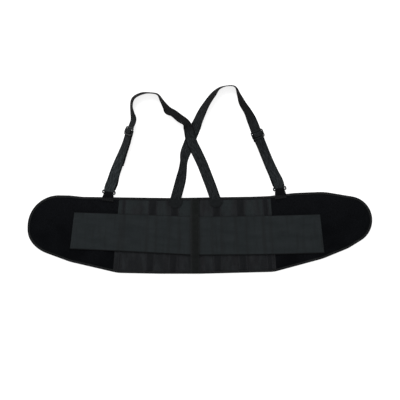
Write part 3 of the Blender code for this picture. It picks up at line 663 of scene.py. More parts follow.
def folded_profile():
    """The folded tape's middle line: inward distance and height, from its top hem round to its low hem."""
    top = TAPE_TOP - TAPE_HALF
    corners = [(TAPE_WIDTH, top), (TAPE_HALF, top), (TAPE_HALF, TAPE_HALF), (TAPE_WIDTH, TAPE_HALF)]
    path = rounded([Vector(corner) for corner in corners], [0, TAPE_FOLD, TAPE_FOLD, 0], 15)
    return evenly(path, 0.0008, closed=False)


def profile_ring(path, half):
    """A closed ring round a profile's middle line, with each point's distance along the cloth."""
    sides = []
    for i, point in enumerate(path):
        along = (path[min(i + 1, len(path) - 1)] - path[max(i - 1, 0)]).normalized()
        sides.append(Vector((-along.y, along.x)) * half)
    ring = [point + side for point, side in zip(path, sides)]
    ring += [point - side for point, side in reversed(list(zip(path, sides)))]
    widths = [0.0]
    for i in range(len(ring)):
        widths.append(widths[-1] + (ring[(i + 1) % len(ring)] - ring[i]).length)
    return ring, widths


tape_ring, tape_widths = profile_ring(folded_profile(), TAPE_HALF)
tape_loops = [inset(outline, row.x) for row in tape_ring]
tape_rings = []
for i, point in enumerate(outline):
    waver = TAPE_WAVER * drift_noise(Vector((point.x * 40, point.y * 40, 8.2)))
    ring = []
    for j, row in enumerate(tape_ring):
        inward = tape_loops[j][i] - point
        share = waver * min(row.x / TAPE_WIDTH, 1)
        flat = tape_loops[j][i] + (inward.normalized() * share if inward.length > MERGE else inward)
        ring.append(Vector((flat.x, flat.y, row.y)))
    tape_rings.append(ring)
tape_runs = [outline_length * i / len(outline) for i in range(len(outline) + 1)]
tape_mesh = loft("edge_tape", tape_rings, tape_runs, tape_widths, closed=True)
edge_cloth = tape_finish("edge tape", (0.0086, 0.0092, 0.0096), (0.0194, 0.0202, 0.0212))
finish_piece("edge_tape", tape_mesh, edge_cloth, "edge_binding")
print("edge tape", len(tape_mesh.polygons), "faces")

# %% [markdown]
# ## The stay channels
#
# Flat bendy stays stiffen the back. Each slides into a cloth channel that is sewn on the mesh panel with
# a row of stitches at each side, so the channel is flat along its seams and rises over the stay. The
# channels fan out towards the bottom edge. Each is lofted down its length with a low crown.

# %% Six stay channels
STAY_WIDTH = 0.027
STAY_HALF = 0.00038
STAY_LOW = PANEL_TOP + AIR
STAY_STEP = 0.006
STAY_GAP = 0.001
STAY_CROWN = 0.00072
CHANNEL_SEAM = 0.0035
# Place is a share of the back panel's width from its middle, and width a share of STAY_WIDTH.
Stay = namedtuple("Stay", "name place width")
STAYS = [
    Stay("stay_outer_left", -0.465, 0.37),
    Stay("stay_left", -0.276, 1.00),
    Stay("stay_mid_left", -0.133, 1.00),
    Stay("stay_mid_right", 0.142, 1.00),
    Stay("stay_right", 0.298, 1.00),
    Stay("stay_outer_right", 0.463, 0.70),
]


def channel_finish():
    """Close woven channel cloth, darker than the mesh round it, greyer where the stay rubs."""
    finish = new_finish("channel cloth", 0.9, 0.04, 0.02)
    place = cloth_place(finish)
    twill = ribs(finish, place, "DIAGONAL", 0.0016)
    worn = mottle(finish, stretched(finish, place, (0.35, 1, 1)), 0.010, 3)
    hem = add_step(finish, "ShaderNodeAttribute", attribute_name="hem").outputs["Fac"]
    rubbed = spread(finish, worn, 0.3, 0.8)
    colour = between_colours(finish, rubbed, (0.0068, 0.0074, 0.0084), (0.0128, 0.0140, 0.0156))
    colour = between_colours(finish, hem, colour, (0.0166, 0.0172, 0.0192))
    colour = between_colours(finish, spread(finish, twill, 0.0, 0.6), (0.0034, 0.0036, 0.0042), colour)
    set_colour(finish, colour)
    set_relief(finish, (worn, 0.0010), (twill, 0.0003))
    return finish


def stay_ends(place, half):
    """The heights at which a channel stops, inside the tape at both edges."""
    gap = TAPE_WIDTH + STAY_GAP
    ends = []
    for top in (True, False):
        middle = back_x(place, 0 if top else -BELT_HEIGHT)
        heights = [edge_height(middle + sign * half, top) for sign in (-1, 1)]
        ends.append(min(heights) - gap if top else max(heights) + gap)
    return ends


def build_channel(stay, finish):
    """One channel, crowned over its stay, with flat seams and rounded ends."""
    half = stay.width * STAY_WIDTH / 2
    high, low = stay_ends(stay.place, half)
    corner = half * 0.33
    steps = math.ceil((high - low) / STAY_STEP)
    drops = [0, 0.15, 0.5, 1.0]
    heights = [high - corner * drop for drop in drops]
    heights += [high - corner - (high - low - 2 * corner) * step / steps for step in range(1, steps)]
    heights += [low + corner * drop for drop in reversed(drops)]
    shares = across_shares(18, half, STAY_HALF)
    seam = min(CHANNEL_SEAM / half, 0.5)
    rings = []
    for y in heights:
        beyond = max(corner - min(high - y, y - low), 0)
        narrowed = half - corner + math.sqrt(max(corner * corner - beyond * beyond, 0))
        fullness = min(min(high - y, y - low) / 0.010, 1)

        def crown(share):
            inside = min(max((1 - seam - abs(share)) / (1 - seam) * 3.0, 0), 1)
            return STAY_CROWN * inside * inside * (3 - 2 * inside) * fullness

        middle = Vector((back_x(stay.place, y), y, STAY_LOW + STAY_HALF))
        reach = max(narrowed, STAY_HALF)
        rings.append(cloth_ring(middle, Vector((1, 0, 0)), UP, reach, STAY_HALF, shares, crown))
    mesh = loft(stay.name + "_channel", rings, [high - y for y in heights], ring_widths(shares, half))
    mark_points(mesh, "hem", lambda x, y: eased(1.4 - (half - abs(x - back_x(stay.place, y))) / 0.004))
    return finish_piece(stay.name + "_channel", mesh, finish, stay.name)


channel_cloth = channel_finish()
for stay in STAYS:
    channel = build_channel(stay, channel_cloth)
    print(channel.name, len(channel.data.polygons), "faces")

# %% [markdown]
# ## The outer elastic band
#
# A wide ribbed elastic is sewn to the middle of the back and pulled round to both sides. It bridges the
# stay channels, so it sinks a little between them, and it steps down from the back panel on to the end
# panels. It is lofted along its length. The ribs run the long way and come from the finish.

# %% The band's course and surface
BAND_LENGTH = 0.745
BAND_MIDDLE = -0.008
BAND_SPLAY = 0.013
BAND_HEIGHT = 0.1145
BAND_FALL = 0.030
BAND_DIP = 0.0011
BAND_DIP_REACH = 0.014
BAND_STEP = 0.005
# Along is a share of BAND_LENGTH from its middle, middle a share of BELT_HEIGHT below the top edge, and
# height a share of BAND_HEIGHT.
BandSection = namedtuple("BandSection", "along middle height")
BAND_SECTIONS = [
    BandSection(-0.500, 0.439, 0.955),
    BandSection(-0.325, 0.462, 0.972),
    BandSection(-0.150, 0.487, 0.990),
    BandSection(0.000, 0.506, 1.010),
    BandSection(0.170, 0.503, 1.013),
    BandSection(0.320, 0.495, 1.013),
    BandSection(0.500, 0.479, 1.013),
]


def smooth_slopes(places, values):
    """Slopes of a curve through values, none of which it overshoots."""
    rises = [(values[i + 1] - values[i]) / (places[i + 1] - places[i]) for i in range(len(values) - 1)]
    slopes = [rises[0]]
    for before, after in zip(rises, rises[1:]):
        slopes.append(2 * before * after / (before + after) if before * after > 0 else 0.0)
    return slopes + [rises[-1]]


def between(start, end, start_slope, end_slope, length, share):
    """A value on a smooth curve between two knots."""
    rest = 1 - share
    ease = rest * rest * (1 + 2 * share) * start + share * share * (1 + 2 * rest) * end
    return ease + length * (rest * rest * share * start_slope - share * share * rest * end_slope)


def smooth_value(places, values, place):
    """Read a smooth curve through a table of places and values."""
    slopes = smooth_slopes(places, values)
    i = min(max(bisect_right(places, place) - 1, 0), len(places) - 2)
    length = places[i + 1] - places[i]
    share = min(max((place - places[i]) / length, 0), 1)
    return between(values[i], values[i + 1], slopes[i], slopes[i + 1], length, share)


def band_edge(share, top):
    """A point of the band's top or bottom edge at a share of its length."""
    places = [row.along for row in BAND_SECTIONS]
    drop = smooth_value(places, [row.middle * BELT_HEIGHT for row in BAND_SECTIONS], share)
    height = smooth_value(places, [row.height * BAND_HEIGHT for row in BAND_SECTIONS], share)
    sign = 1 if top else -1
    return Vector((BAND_MIDDLE + share * BAND_LENGTH - sign * share * BAND_SPLAY, sign * height / 2 - drop))


def stay_reach(x, y):
    """How far a place lies from the nearest stay channel or from the middle strip."""
    stays = STAYS + [Stay("middle", 0.0, 1.0)]
    return min(abs(x - back_x(stay.place, y)) - stay.width * STAY_WIDTH / 2 for stay in stays)


def band_low(x, y):
    """The height of the band's underside: over the channels, dipping between them, down at its ends."""
    beyond = max(abs(x - BACK_MIDDLE) - abs(back_x(0.5, y) - BACK_MIDDLE), 0)
    level = SEAT_LEVEL - (SEAT_LEVEL - PANEL_TOP - AIR) * eased(beyond / BAND_FALL)
    if beyond > 0:
        return level
    return level - BAND_DIP * eased(stay_reach(x, y) / BAND_DIP_REACH)


def band_finish():
    """Firm knitted elastic: fine long ribs, a soft cross pull, dusty wear on the crests, painted shadow on
    the edges.
    """
    finish = new_finish("band elastic", 0.85, 0.05, 0.02)
    place = cloth_place(finish)
    rib = ribs(finish, place, "Y", 0.0023, 0.3)
    knit = ribs(finish, place, "X", 0.0016)
    worn = mottle(finish, stretched(finish, place, (0.3, 1, 1)), 0.020, 4)
    pulled = mottle(finish, stretched(finish, place, (1, 0.15, 1)), 0.012, 2)
    pressed = add_step(finish, "ShaderNodeAttribute", attribute_name="over_stay").outputs["Fac"]
    dusty = spread(finish, worn, 0.3, 0.8)
    colour = between_colours(finish, dusty, (0.0140, 0.0178, 0.0194), (0.0224, 0.0270, 0.0292))
    colour = between_colours(finish, spread(finish, pulled, 0.5, 0.9), colour, (0.0118, 0.0136, 0.0144))
    colour = between_colours(finish, pressed, colour, (0.0132, 0.0146, 0.0152))
    colour = between_colours(finish, spread(finish, rib, 0.0, 0.5), (0.0068, 0.0078, 0.0082), colour)
    # Painted shadow: a thin dark line along each long edge of the band, for the shade it casts beside them.
    across = add_step(finish, "ShaderNodeSeparateXYZ", [("Vector", place)]).outputs["Y"]
    low_edge_painted_shadow = spread(finish, across, 0.0042, 0.0014)
    colour = between_colours(finish, low_edge_painted_shadow, colour, (0.0034, 0.0038, 0.0042))
    high_edge_painted_shadow = spread(finish, across, 0.1118, 0.1136)
    colour = between_colours(finish, high_edge_painted_shadow, colour, (0.0060, 0.0068, 0.0074))
    set_colour(finish, colour)
    set_relief(finish, (pulled, 0.0009), (knit, 0.0001), (rib, 0.0004))
    return finish


# %% The band itself
BAND_COLUMNS = 34
BAND_HALF = 0.057
BAND_RIPPLE = 0.00030
BAND_EDGE_LIFT = 0.00035


def band_level(flat, across):
    """The height of the band's mid-plane, with its ripple and its slightly lifted long edges."""
    ripple = BAND_RIPPLE * drift_noise(Vector((flat.x * 26, flat.y * 60, 1.7)))
    lifted = BAND_EDGE_LIFT * eased(abs(across) * 6 - 5)
    return band_low(flat.x, flat.y) + BAND_THICKNESS / 2 + ripple + lifted


band_steps = math.ceil(BAND_LENGTH / BAND_STEP)
band_shares = across_shares(BAND_COLUMNS, BAND_HALF, BAND_THICKNESS / 2)
band_rings = []
for step in range(band_steps + 1):
    share = step / band_steps - 0.5
    low, high = band_edge(share, False), band_edge(share, True)
    ring_over = []
    ring_under = []
    for across in band_shares:
        flat = low.lerp(high, (across + 1) / 2)
        edge = BAND_THICKNESS / 2 / BAND_HALF
        beyond = max(abs(across) - (1 - edge), 0) / edge
        half = BAND_THICKNESS / 2 * math.sqrt(max(1 - beyond * beyond, 0))
        middle = band_level(flat, across)
        ring_over.append(Vector((flat.x, flat.y, middle + half)))
        ring_under.append(Vector((flat.x, flat.y, middle - half)))
    band_rings.append(ring_over + ring_under[-2:0:-1])
band_runs = [BAND_LENGTH * step / band_steps for step in range(band_steps + 1)]
band_mesh = loft("outer_band_elastic", band_rings, band_runs, ring_widths(band_shares, BAND_HALF))
mark_points(band_mesh, "over_stay", lambda x, y: 0.6 * eased(1 - abs(stay_reach(x, y) - 0.001) / 0.007))
outer_band = finish_piece("outer_band_elastic", band_mesh, band_finish(), "outer_band")
print("outer band", len(band_mesh.polygons), "faces")

# %% [markdown]
# ## The strip down the middle of the back
#
# A soft tape holds the band to the middle of the back. It runs from edge to edge, over the band, and is
# sewn down at both sides. It is lofted down its course, with a slight crown between its two seams. Its
# dark tone is partly painted shade, the shade of a fold down the middle of the back.

# %% The centre strip
STRIP_WIDTH = 0.026
STRIP_HALF = 0.0006
STRIP_CROWN = 0.0004


def strip_course():
    """The strip's middle line as heights along the back: up over the band and down again."""
    low = TAPE_TOP + AIR + STRIP_HALF
    high = BAND_TOP + AIR + STRIP_HALF
    share = (BACK_MIDDLE - BAND_MIDDLE) / BAND_LENGTH
    top = edge_height(BACK_MIDDLE, True) - 0.001
    bottom = edge_height(BACK_MIDDLE, False) + 0.001
    band_top = band_edge(share, True).y + BAND_THICKNESS
    band_bottom = band_edge(share, False).y - BAND_THICKNESS
    step = 2 * BAND_THICKNESS
    corners = [
        (bottom, low), (band_bottom - step, low), (band_bottom, high),
        (band_top, high), (band_top + step, low), (top, low),
    ]
    path = rounded([Vector(corner) for corner in corners], [BAND_THICKNESS] * 6, 12)
    return evenly(path, 0.004, closed=False)


strip_path = strip_course()
strip_shares = across_shares(12, STRIP_WIDTH / 2, STRIP_HALF)
strip_rings = []
for i, point in enumerate(strip_path):
    along = (strip_path[min(i + 1, len(strip_path) - 1)] - strip_path[max(i - 1, 0)]).normalized()
    face = Vector((0, -along.y, along.x))
    middle = Vector((BACK_MIDDLE, point.x, point.y))
    strip_rings.append(cloth_ring(
        middle, Vector((1, 0, 0)), face, STRIP_WIDTH / 2, STRIP_HALF, strip_shares,
        lambda share: STRIP_CROWN * eased((0.8 - abs(share)) * 3)))
strip_runs = [(point - strip_path[0]).length for point in strip_path]
strip_mesh = loft("centre_strip_tape", strip_rings, strip_runs, ring_widths(strip_shares, STRIP_WIDTH / 2))
# Painted shade: the strip's paler left side is the soft edge of its painted shade.
mark_points(strip_mesh, "paler_share", lambda x, y: eased((BACK_MIDDLE - 0.004 - x) / 0.008))
strip_cloth_with_painted_shade = tape_finish("strip tape with painted shade", (0.0068, 0.0080, 0.0078), (0.0130, 0.0144, 0.0140))
finish_piece("centre_strip_tape", strip_mesh, strip_cloth_with_painted_shade, "centre_strip")
print("centre strip", len(strip_mesh.polygons), "faces")

# %% [markdown]
# ## The course of a shoulder strap
#
# Each strap is one long ribbon of webbing. It leaves the belt at the back, rolls over on to its edge
# where the shoulder loop turns, lies down again at the slider and goes on to its ring. Tables of
# sections, as shares of the strap's named sizes, give its middle line as seen from above and how far it
# is tilted. What lies below it says how high it is held. A smooth curve through all of these knots, with
# its width and face directions, carries the webbing, the slider and the ring.

# %% Sizes of the webbing and its fittings
STRAP_WIDTH = 0.03175
STRAP_THICKNESS = 0.0015
STRAP_REACH = 0.3326
STRAP_SEAT = 0.017
STRAP_STEP = 0.003
SLIDER_THICKNESS = 0.003
MIDDLE_BAR = 0.005
END_BAR = 0.0045
SIDE_RAIL = 0.0033
SLOT = 0.006
RING_BAR = 0.0038
RING_OPENING = 0.0042
RING_STRAIGHT = 0.006
PLAY = 0.0008
BEND = 0.0018
PLY = STRAP_THICKNESS + AIR
SLIDER_RISE = STRAP_THICKNESS / 2 + AIR + SLIDER_THICKNESS / 2
SLIDER_HALF_RUN = MIDDLE_BAR / 2 + SLOT + END_BAR + BEND
RING_WRAP = RING_BAR / 2 + AIR + STRAP_THICKNESS / 2
RING_SPACING = RING_OPENING + RING_BAR
RING_LIFT = RING_WRAP + PLY / 2

# %% Sections of the two straps
# Across is a share of the way from the strap's anchor to its ring, up a share of STRAP_REACH above the
# belt, tilt the rise of the edge on the inside of the loop, and seat a share of SEAT_LEVEL.
Section = namedtuple("Section", "across up tilt seat")
RIGHT_SECTIONS = [
    Section(0.028, 0.095, 0, 0.45), Section(0.050, 0.176, -17, 0), Section(0.064, 0.243, -37, 0),
    Section(0.075, 0.319, -46, 0), Section(0.088, 0.391, -20, 0), Section(0.108, 0.444, 0, 0),
    Section(0.142, 0.525, 0, 0), Section(0.179, 0.610, 0, 0), Section(0.212, 0.685, 28, 0),
    Section(0.251, 0.765, 38, 0), Section(0.300, 0.846, 52, 0), Section(0.362, 0.925, 60, 0),
    Section(0.418, 0.979, 78, 0), Section(0.497, 1.002, 85, 0), Section(0.570, 0.995, 82, 0),
    Section(0.606, 0.927, 69, 0), Section(0.641, 0.848, 49, 0), Section(0.697, 0.766, 40, 0),
    Section(0.737, 0.686, 20, 0),
]
LEFT_SECTIONS = [
    Section(0.035, 0.095, 0, 0.45), Section(0.068, 0.176, 0, 0), Section(0.124, 0.310, 0, 0),
    Section(0.164, 0.390, 0, 0), Section(0.228, 0.525, 0, 0), Section(0.247, 0.610, 18, 0),
    Section(0.271, 0.666, 45, 0), Section(0.326, 0.703, 40, 0), Section(0.401, 0.757, 45, 0),
    Section(0.439, 0.774, 38, 0), Section(0.464, 0.808, 56, 0), Section(0.503, 0.866, 71, 0),
    Section(0.537, 0.917, 81, 0), Section(0.610, 0.933, 83, 0), Section(0.705, 0.923, 75, 0),
    Section(0.773, 0.880, 73, 0), Section(0.788, 0.816, 76, 0), Section(0.779, 0.753, 68, 0),
    Section(0.768, 0.695, 56, 0),
]
# The slider's tilt at its upper and at its lower end
Slider = namedtuple("Slider", "across up upper_tilt lower_tilt seat")
# Between slider and ring, plies is how many layers of webbing lie below.
Front = namedtuple("Front", "across up tilt plies")
RIGHT_FRONT = [
    Front(0.828, 0.474, 21, 2), Front(0.865, 0.389, 21, 1), Front(0.905, 0.300, 16, 1),
    Front(0.948, 0.213, 4, 1), Front(0.980, 0.158, 0, 1),
]
LEFT_FRONT = [
    Front(0.838, 0.490, 48, 2), Front(0.876, 0.392, 40, 2), Front(0.907, 0.313, 26, 2),
    Front(0.938, 0.235, 14, 1), Front(0.974, 0.134, 0, 1),
]
# Turn is 1 for a clockwise loop seen from above and -1 for an anticlockwise one. Lean is in degrees.
Side = namedtuple("Side", "name turn anchor_x ring_x tab_reach lean tail sections slider front")
RIGHT_SIDE = Side(
    name="right", turn=1, anchor_x=-0.0711, ring_x=0.2381, tab_reach=0.0140, lean=8, tail=0.018,
    sections=RIGHT_SECTIONS, slider=Slider(0.7868, 0.567, 17, 17, 0.0), front=RIGHT_FRONT)
LEFT_SIDE = Side(
    name="left", turn=-1, anchor_x=0.0445, ring_x=-0.2715, tab_reach=0.0107, lean=-8, tail=0.104,
    sections=LEFT_SECTIONS, slider=Slider(0.8050, 0.590, 57, 50, 0.12), front=LEFT_FRONT)

# %% Knots of a strap
Knot = namedtuple("Knot", "point tilt lift heading")


def ring_place(side):
    """The middle of the ring's lower bar, the direction down to the belt and the one to its right."""
    bar = Vector((side.ring_x, edge_height(side.ring_x, True) + side.tab_reach, 0))
    lean = math.radians(side.lean)
    down = Vector((math.sin(lean), -math.cos(lean), 0))
    return bar, down, Vector((down.y, -down.x, 0))


def strap_knots(side):
    """The knots of one strap, from its seat on the belt round the loop to its ring."""
    anchor = Vector((side.anchor_x, edge_height(side.anchor_x, True)))
    bar, down, right = [direction.xy for direction in ring_place(side)]
    ring_top = bar - down * RING_SPACING

    def place(row):
        return anchor + Vector((row.across * (ring_top.x - anchor.x), row.up * STRAP_REACH))

    away = (place(side.sections[0]) - anchor).normalized()
    knots = [
        Knot(anchor - away * STRAP_SEAT, 0, SEAT_LEVEL, away),
        Knot(anchor + away * TAPE_WIDTH, 0, SEAT_LEVEL, away),
    ]
    knots += [Knot(place(row), row.tilt, row.seat * SEAT_LEVEL, None) for row in side.sections]
    slider = place(side.slider)
    heading = (ring_top - slider).normalized() + (slider - knots[-1].point).normalized()
    heading.normalize()
    lift = 2 * PLY + side.slider.seat * SEAT_LEVEL
    for sign, tilt in ((-1, side.slider.upper_tilt), (1, side.slider.lower_tilt)):
        knots.append(Knot(slider + heading * SLIDER_HALF_RUN * sign, tilt, lift, heading))
    knots += [Knot(place(row), row.tilt, row.plies * PLY, None) for row in side.front]
    knots.append(Knot(ring_top - down * RING_STRAIGHT, 0, RING_LIFT, down))
    knots.append(Knot(ring_top + down * RING_SPACING / 2, 0, RING_LIFT, down))
    return knots


# %% A curve that carries a strap
CROSSING_CLIMB = 0.0026
CROSSING_NEAR = 0.035
CROSSING_FAR = 0.060
HEADING_STEP = 0.01


class Carrier:
    """The middle line of a strap's upper ply, with its width and face directions at every point."""

    def __init__(self, knots, turn, below=None):
        self.turn = turn
        self.below = below
        self.runs = [0.0]
        self.points = []
        self.widths = []
        self.faces = []
        self.knot_runs = [0.0]
        flat = [knot.point for knot in knots]
        chords = [after - before for before, after in zip(flat, flat[1:])]
        headings = []
        for i, knot in enumerate(knots):
            near = chords[max(i - 1, 0):i + 1]
            mean = sum((chord / chord.length_squared for chord in near), Vector((0, 0)))
            headings.append(mean.normalized() if knot.heading is None else knot.heading)
        places = [0.0]
        for chord in chords:
            places.append(places[-1] + chord.length)
        tilts = [knot.tilt for knot in knots]
        lifts = [knot.lift for knot in knots]
        self.add_sample(flat[0], headings[0], tilts[0], lifts[0])
        for i, chord in enumerate(chords):
            steps = max(1, round(chord.length / STRAP_STEP))
            for step in range(1, steps + 1):
                share = step / steps
                ends = (flat[i], flat[i + 1], headings[i], headings[i + 1], chord.length)
                point = between(*ends, share)
                ahead = between(*ends, min(share + HEADING_STEP, 1))
                heading = (ahead - between(*ends, share - HEADING_STEP)).normalized()
                place = places[i] + chord.length * share
                tilt = smooth_value(places, tilts, place)
                self.runs.append(self.runs[-1] + (point - self.points[-1].xy).length)
                self.add_sample(point, heading, tilt, smooth_value(places, lifts, place))
            self.knot_runs.append(self.runs[-1])

    def add_sample(self, point, heading, tilt, lift):
        """Add a point at the height where a strap that is tilted and lifted lies on what is below it."""
        angle = math.radians(tilt)
        right = Vector((heading.y, -heading.x, 0))
        height = STRAP_WIDTH / 2 * abs(math.sin(angle)) + (STRAP_THICKNESS / 2 + lift) * math.cos(angle)
        if self.below:
            gap = min((point - other.xy).length for other in self.below.points)
            height += CROSSING_CLIMB * eased((CROSSING_FAR - gap) / (CROSSING_FAR - CROSSING_NEAR))
        self.points.append(Vector((point.x, point.y, height)))
        self.widths.append(right * math.cos(angle) + UP * math.sin(angle) * self.turn)
        self.faces.append(UP * math.cos(angle) - right * math.sin(angle) * self.turn)

    def at(self, run):
        """The point, width direction and face direction at a run along the strap."""
        i = min(max(bisect_right(self.runs, run) - 1, 0), len(self.runs) - 2)
        share = (run - self.runs[i]) / (self.runs[i + 1] - self.runs[i])
        point = self.points[i].lerp(self.points[i + 1], share)
        width = self.widths[i].lerp(self.widths[i + 1], share).normalized()
        face = self.faces[i].lerp(self.faces[i + 1], share).normalized()
        return point, width, face

    def placing(self, run, rise):
        """The matrix of a rigid piece on the strap: X across it, Y along it and Z off its face."""
        point, width, face = self.at(run)
        turned = Matrix((width, face.cross(width), face)).transposed()
        return Matrix.Translation(point + face * rise) @ turned.to_4x4()


right_carrier = Carrier(strap_knots(RIGHT_SIDE), RIGHT_SIDE.turn)
left_carrier = Carrier(strap_knots(LEFT_SIDE), LEFT_SIDE.turn, right_carrier)
STRAPS = [(RIGHT_SIDE, right_carrier), (LEFT_SIDE, left_carrier)]
print("strap courses", round(right_carrier.runs[-1], 3), round(left_carrier.runs[-1], 3), "m")

# %% [markdown]
# ## The webbing
#
# The ribbon goes under the slider's far bar, over its middle bar and on to the ring, round the ring's
# bar and back below itself, round the slider's middle bar and out as a loose tail. One path of runs and
# heights says all of that. The ribbon is lofted along it with a firm rounded selvedge at both sides, as
# narrow loom webbing has, and its map follows its length, so the weave stays true where the strap bends
# and rolls. The weave is a herringbone in six columns. A short table of paleness makes the cloth pale
# where hands rub it, and darkens it with painted shade where the strap stands on its edge in the loops;
# the returning ply below gets the same painted shade.

# %% The path of one ribbon
RING_APPROACH = 0.013
BAR_BEND = 0.0016
PATH_ARC = 15
FRONT_KNOTS = len(RIGHT_FRONT)


def fitting_runs(carrier):
    """The runs along a strap of the slider's middle bar and of the ring's upper bar."""
    slider_run = carrier.knot_runs[-3 - FRONT_KNOTS] - SLIDER_HALF_RUN
    return slider_run, carrier.knot_runs[-1] - RING_SPACING / 2


def webbing_path(slider_run, ring_run, tail):
    """The ribbon's whole course as runs along the carrier and heights off its face."""
    wrap = MIDDLE_BAR / 2 + AIR + STRAP_THICKNESS / 2
    rise = (wrap + STRAP_THICKNESS / 2 + MIDDLE_BAR / 2 + SLOT) / 2
    foot = rise + STRAP_THICKNESS / 2
    crown = rise - STRAP_THICKNESS / 2
    over = 2 * SLIDER_RISE
    ring_top = RING_WRAP - PLY / 2
    ring_low = -RING_WRAP - PLY / 2
    near_ring = ring_run - RING_APPROACH
    corners = [
        (0, 0), (slider_run - foot, 0), (slider_run - crown, over + PLY),
        (slider_run + crown, over + PLY), (slider_run + foot, 0),
        (near_ring, 0), (ring_run - RING_BAR, ring_top), (ring_run + RING_WRAP, ring_top),
        (ring_run + RING_WRAP, ring_low), (ring_run - RING_BAR, ring_low), (near_ring, -PLY),
        (slider_run + wrap, -PLY), (slider_run + wrap, over), (slider_run - wrap, over),
        (slider_run - wrap, -2 * PLY), (slider_run + tail, -2 * PLY),
    ]
    radii = [BEND] * len(corners)
    radii[7] = radii[8] = RING_WRAP
    radii[12] = radii[13] = BAR_BEND
    path = rounded([Vector(corner) for corner in corners], radii, PATH_ARC)
    points = [path[0]]
    for start, end in zip(path, path[1:]):
        steps = max(1, math.ceil((end - start).length / STRAP_STEP))
        points.extend(start.lerp(end, step / steps) for step in range(1, steps + 1))
    return points


# %% Webbing and the two straps
RETURN_DRIFT = 0.0036
# How far the returning ply stands out. Way goes from slider to ring, and share is of RETURN_DRIFT.
DRIFT_WAYS = [0, 0.70, 0.88, 0.96, 0.985, 1]
DRIFT_SHARES = [0, 0, 1, 1, 0.3, 0.2]
RING_LEAN = 0.0007
TAIL_DRIFT = 0.0015
STRAP_COLUMNS = 12
TWILL_COLUMN = STRAP_WIDTH / 6
# Painted shade: the returning ply and the tail below the strap keep this low paleness.
UNDER_PLY_SHADED_PALENESS = 0.1


def webbing_finish():
    """Narrow loom webbing in six columns of herringbone twill, with pale fuzz and a dark firm selvedge."""
    finish = new_finish("webbing", 0.85, 0.03, 0.01)
    place = cloth_place(finish)
    parts = add_step(finish, "ShaderNodeSeparateXYZ", [("Vector", place)]).outputs
    across = parts["Y"]
    zigzag = combine(finish, "ADD", parts["X"], combine(finish, "PINGPONG", across, TWILL_COLUMN))
    slanted = add_step(finish, "ShaderNodeCombineXYZ", [("X", zigzag), ("Y", across)]).outputs["Vector"]
    twill = ribs(finish, slanted, "X", 0.0022)
    weft = ribs(finish, place, "X", 0.0009)
    weave = combine(finish, "MULTIPLY", twill, spread(finish, weft, -0.6, 1.0))
    worn = mottle(finish, stretched(finish, place, (0.45, 1.6, 1)), 0.007, 5)
    streaks = mottle(finish, stretched(finish, place, (0.4, 1.8, 1)), 0.0046, 2)
    wear = add_step(finish, "ShaderNodeAttribute", attribute_name="wear").outputs["Fac"]
    from_edge = combine(finish, "PINGPONG", across, STRAP_WIDTH)
    from_middle = combine(finish, "SUBTRACT", from_edge, STRAP_WIDTH / 2)
    off_middle = combine(finish, "ABSOLUTE", from_middle, 0.0)
    selvedge = spread(finish, off_middle, STRAP_WIDTH / 2 - 0.0030, STRAP_WIDTH / 2 - 0.0016)
    fuzz = spread(finish, worn, 0.38, 0.66)
    colour = between_colours(finish, fuzz, (0.0238, 0.0301, 0.0323), (0.0636, 0.0779, 0.0827))
    colour = between_colours(finish, spread(finish, streaks, 0.50, 0.70), colour, (0.0980, 0.1100, 0.1180))
    colour = between_colours(finish, spread(finish, streaks, 0.28, 0.42), (0.0180, 0.0204, 0.0224), colour)
    colour = between_colours(finish, spread(finish, weave, 0.10, 0.72), (0.0034, 0.0042, 0.0046), colour)
    colour = between_colours(finish, selvedge, colour, (0.0050, 0.0060, 0.0066))
    # The wear mark holds real wear and painted shade: low values give this dull dark colour, which is
    # painted shade where the strap stands on its edge and on the ply below.
    colour = between_colours(finish, wear, (0.0044, 0.0036, 0.0037), colour)
    set_colour(finish, colour)
    set_relief(finish, (worn, 0.0012), (weave, 0.0005))
    return finish


def build_strap(name, carrier, tail, wear):
    """One shoulder strap as a single ribbon of webbing."""
    slider_run, ring_run = fitting_runs(carrier)
    path = webbing_path(slider_run, ring_run, tail)
    ring_turn = max(range(len(path)), key=lambda i: path[i].x)
    bar_turn = min(range(ring_turn, len(path)), key=lambda i: path[i].x)
    half = STRAP_WIDTH / 2
    shares = across_shares(STRAP_COLUMNS, half, STRAP_THICKNESS / 2)
    rings = []
    runs = [0.0]
    middles = []
    for i, (run, height) in enumerate(path):
        point, width, face = carrier.at(run)
        drift = RING_LEAN * eased(1 + (run - ring_run) / 0.02)
        if ring_turn < i <= bar_turn:
            way = (run - slider_run) / (ring_run - slider_run)
            drift = RETURN_DRIFT * smooth_value(DRIFT_WAYS, DRIFT_SHARES, way)
        elif i > bar_turn:
            drift = TAIL_DRIFT * eased((run - slider_run) / tail)
        middles.append(point + face * height + width * drift * carrier.turn)
        if i:
            runs.append(runs[-1] + (middles[-1] - middles[-2]).length)
    for i, middle in enumerate(middles):
        along = (middles[min(i + 1, len(path) - 1)] - middles[max(i - 1, 0)]).normalized()
        width = carrier.at(path[i].x)[1]
        face = width.cross(along).normalized()
        rings.append(cloth_ring(middle, width, face, half, STRAP_THICKNESS / 2, shares))
    mesh = loft(name, rings, runs, ring_widths(shares, half))
    # The wear table gives real wear, and painted shade where the strap stands on its edge.
    ways = [row.way for row in wear]
    pales = [row.paleness for row in wear]
    worn = [smooth_value(ways, pales, min(run / carrier.runs[-1], 1)) for run, height in path]
    marks = mesh.attributes.new("wear", "FLOAT", "POINT")
    for i, mark in enumerate(marks.data):
        place = i // len(rings[0])
        # Painted shade: the returning ply and the tail get a low paleness.
        mark.value = worn[place] if place <= ring_turn else UNDER_PLY_SHADED_PALENESS
    return mesh, runs[-1]
